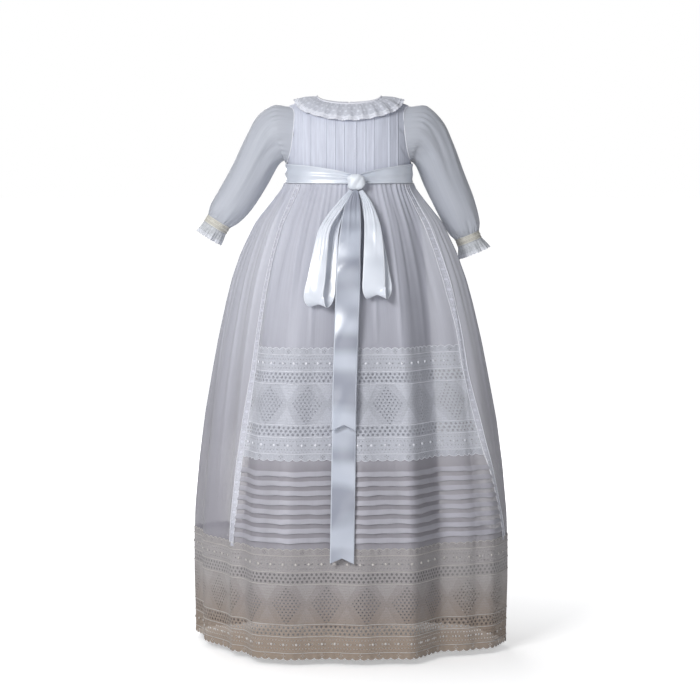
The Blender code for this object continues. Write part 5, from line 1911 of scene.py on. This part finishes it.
@dataclass
class Studio:
    """A pale floor, soft lights and the camera."""

    floor_z: float = -886.0
    camera_at: tuple[float, float, float] = (1.62, -4000.0, -60.0)
    aim_at: tuple[float, float, float] = (1.62, 0.0, -403.0)
    lens: float = 127.45
    lights: tuple[tuple[str, tuple[float, float, float], float, float], ...] = (
        ("key", (-1350.0, -2400.0, 900.0), 1000.0, 58.0),
        ("fill", (500.0, -3200.0, -200.0), 1600.0, 12.0),
        ("top", (-700.0, 200.0, 1900.0), 1200.0, 9.0),
        ("back", (-500.0, 2600.0, 500.0), 1400.0, 30.0),
    )

    def floor(self) -> None:
        """The pale floor, just below the hem."""
        recipe = Recipe("floor")
        place = recipe.node("ShaderNodeTexCoord").outputs["Object"]
        length = recipe.node("ShaderNodeVectorMath", {"operation": "LENGTH"}, {0: place})
        far = Field(recipe, length.outputs["Value"])
        seen = Field(recipe, recipe.node("ShaderNodeLightPath").outputs["Is Camera Ray"])
        glow = recipe.blend(far.ramp(0.35, 1.6) * seen, (0.0, 0.0, 0.0), (1.0, 1.0, 1.0))
        recipe.dress(Base_Color=(0.90, 0.90, 0.90, 1.0), Roughness=0.9)
        recipe.dress(Emission_Color=glow, Emission_Strength=0.9)
        level = Matrix.Translation((0.0, 0.0, self.floor_z * MM))
        bm = bmesh.new()
        bmesh.ops.create_circle(bm, cap_ends=True, segments=96, radius=30.0, matrix=level)
        finish_mesh("floor", bm, recipe.material)

    def world(self) -> None:
        """A white surround that shows white and lights the gown softly."""
        world = bpy.data.worlds.new("surround")
        world.use_nodes = True
        nodes = Nodes(world.node_tree)
        soft = world.node_tree.nodes["Background"]
        nodes.feed(soft.inputs["Color"], (0.96, 0.97, 1.0, 1.0))
        nodes.feed(soft.inputs["Strength"], 0.24)
        white = nodes.node("ShaderNodeBackground", None, {"Color": (1.0, 1.0, 1.0, 1.0), "Strength": 1.0})
        seen = nodes.node("ShaderNodeLightPath").outputs["Is Camera Ray"]
        mix = nodes.node("ShaderNodeMixShader", None, {0: seen, 1: soft.outputs[0], 2: white.outputs[0]})
        nodes.feed(world.node_tree.nodes["World Output"].inputs[0], mix.outputs[0])
        bpy.context.scene.world = world

    def aim(self, thing: bpy.types.Object, at: Vector) -> None:
        """Turn a light or camera to look at a place."""
        thing.rotation_euler = (at - thing.location).to_track_quat("-Z", "Y").to_euler()

    def build(self) -> None:
        """Make the studio."""
        scene = bpy.context.scene
        scene.view_settings.view_transform = "Standard"
        target = Vector(self.aim_at) * MM
        camera = bpy.data.objects.new("camera", bpy.data.cameras.new("camera"))
        camera.data.lens = self.lens
        camera.location = Vector(self.camera_at) * MM
        self.aim(camera, target)
        scene.collection.objects.link(camera)
        scene.camera = camera
        for name, place, size, power in self.lights:
            data = bpy.data.lights.new(name, "AREA")
            data.size = size * MM
            data.energy = power
            light = bpy.data.objects.new(name, data)
            light.location = Vector(place) * MM
            self.aim(light, target)
            scene.collection.objects.link(light)
        self.floor()
        self.world()


def main() -> None:
    """Build the gown and its studio."""
    logging.basicConfig(level=logging.INFO)
    Studio().build()
    wardrobe: Wardrobe = {finish.name: finish.make() for finish in FINISHES}
    chest, skirt = ChestForm(), SkirtForm()
    Bodice(chest, wardrobe).build()
    Collar(chest, wardrobe).build()
    Sleeve(chest, wardrobe, "left", -1, LEFT_SLEEVE, 1.0).build()
    Sleeve(chest, wardrobe, "right", 1, RIGHT_SLEEVE, 6.0).build()
    Skirt(skirt, wardrobe).build()
    Slip(skirt, wardrobe).build()
    Sash(chest, wardrobe).build()
    Bow(wardrobe).build()


if __name__ == "__main__":
    main()
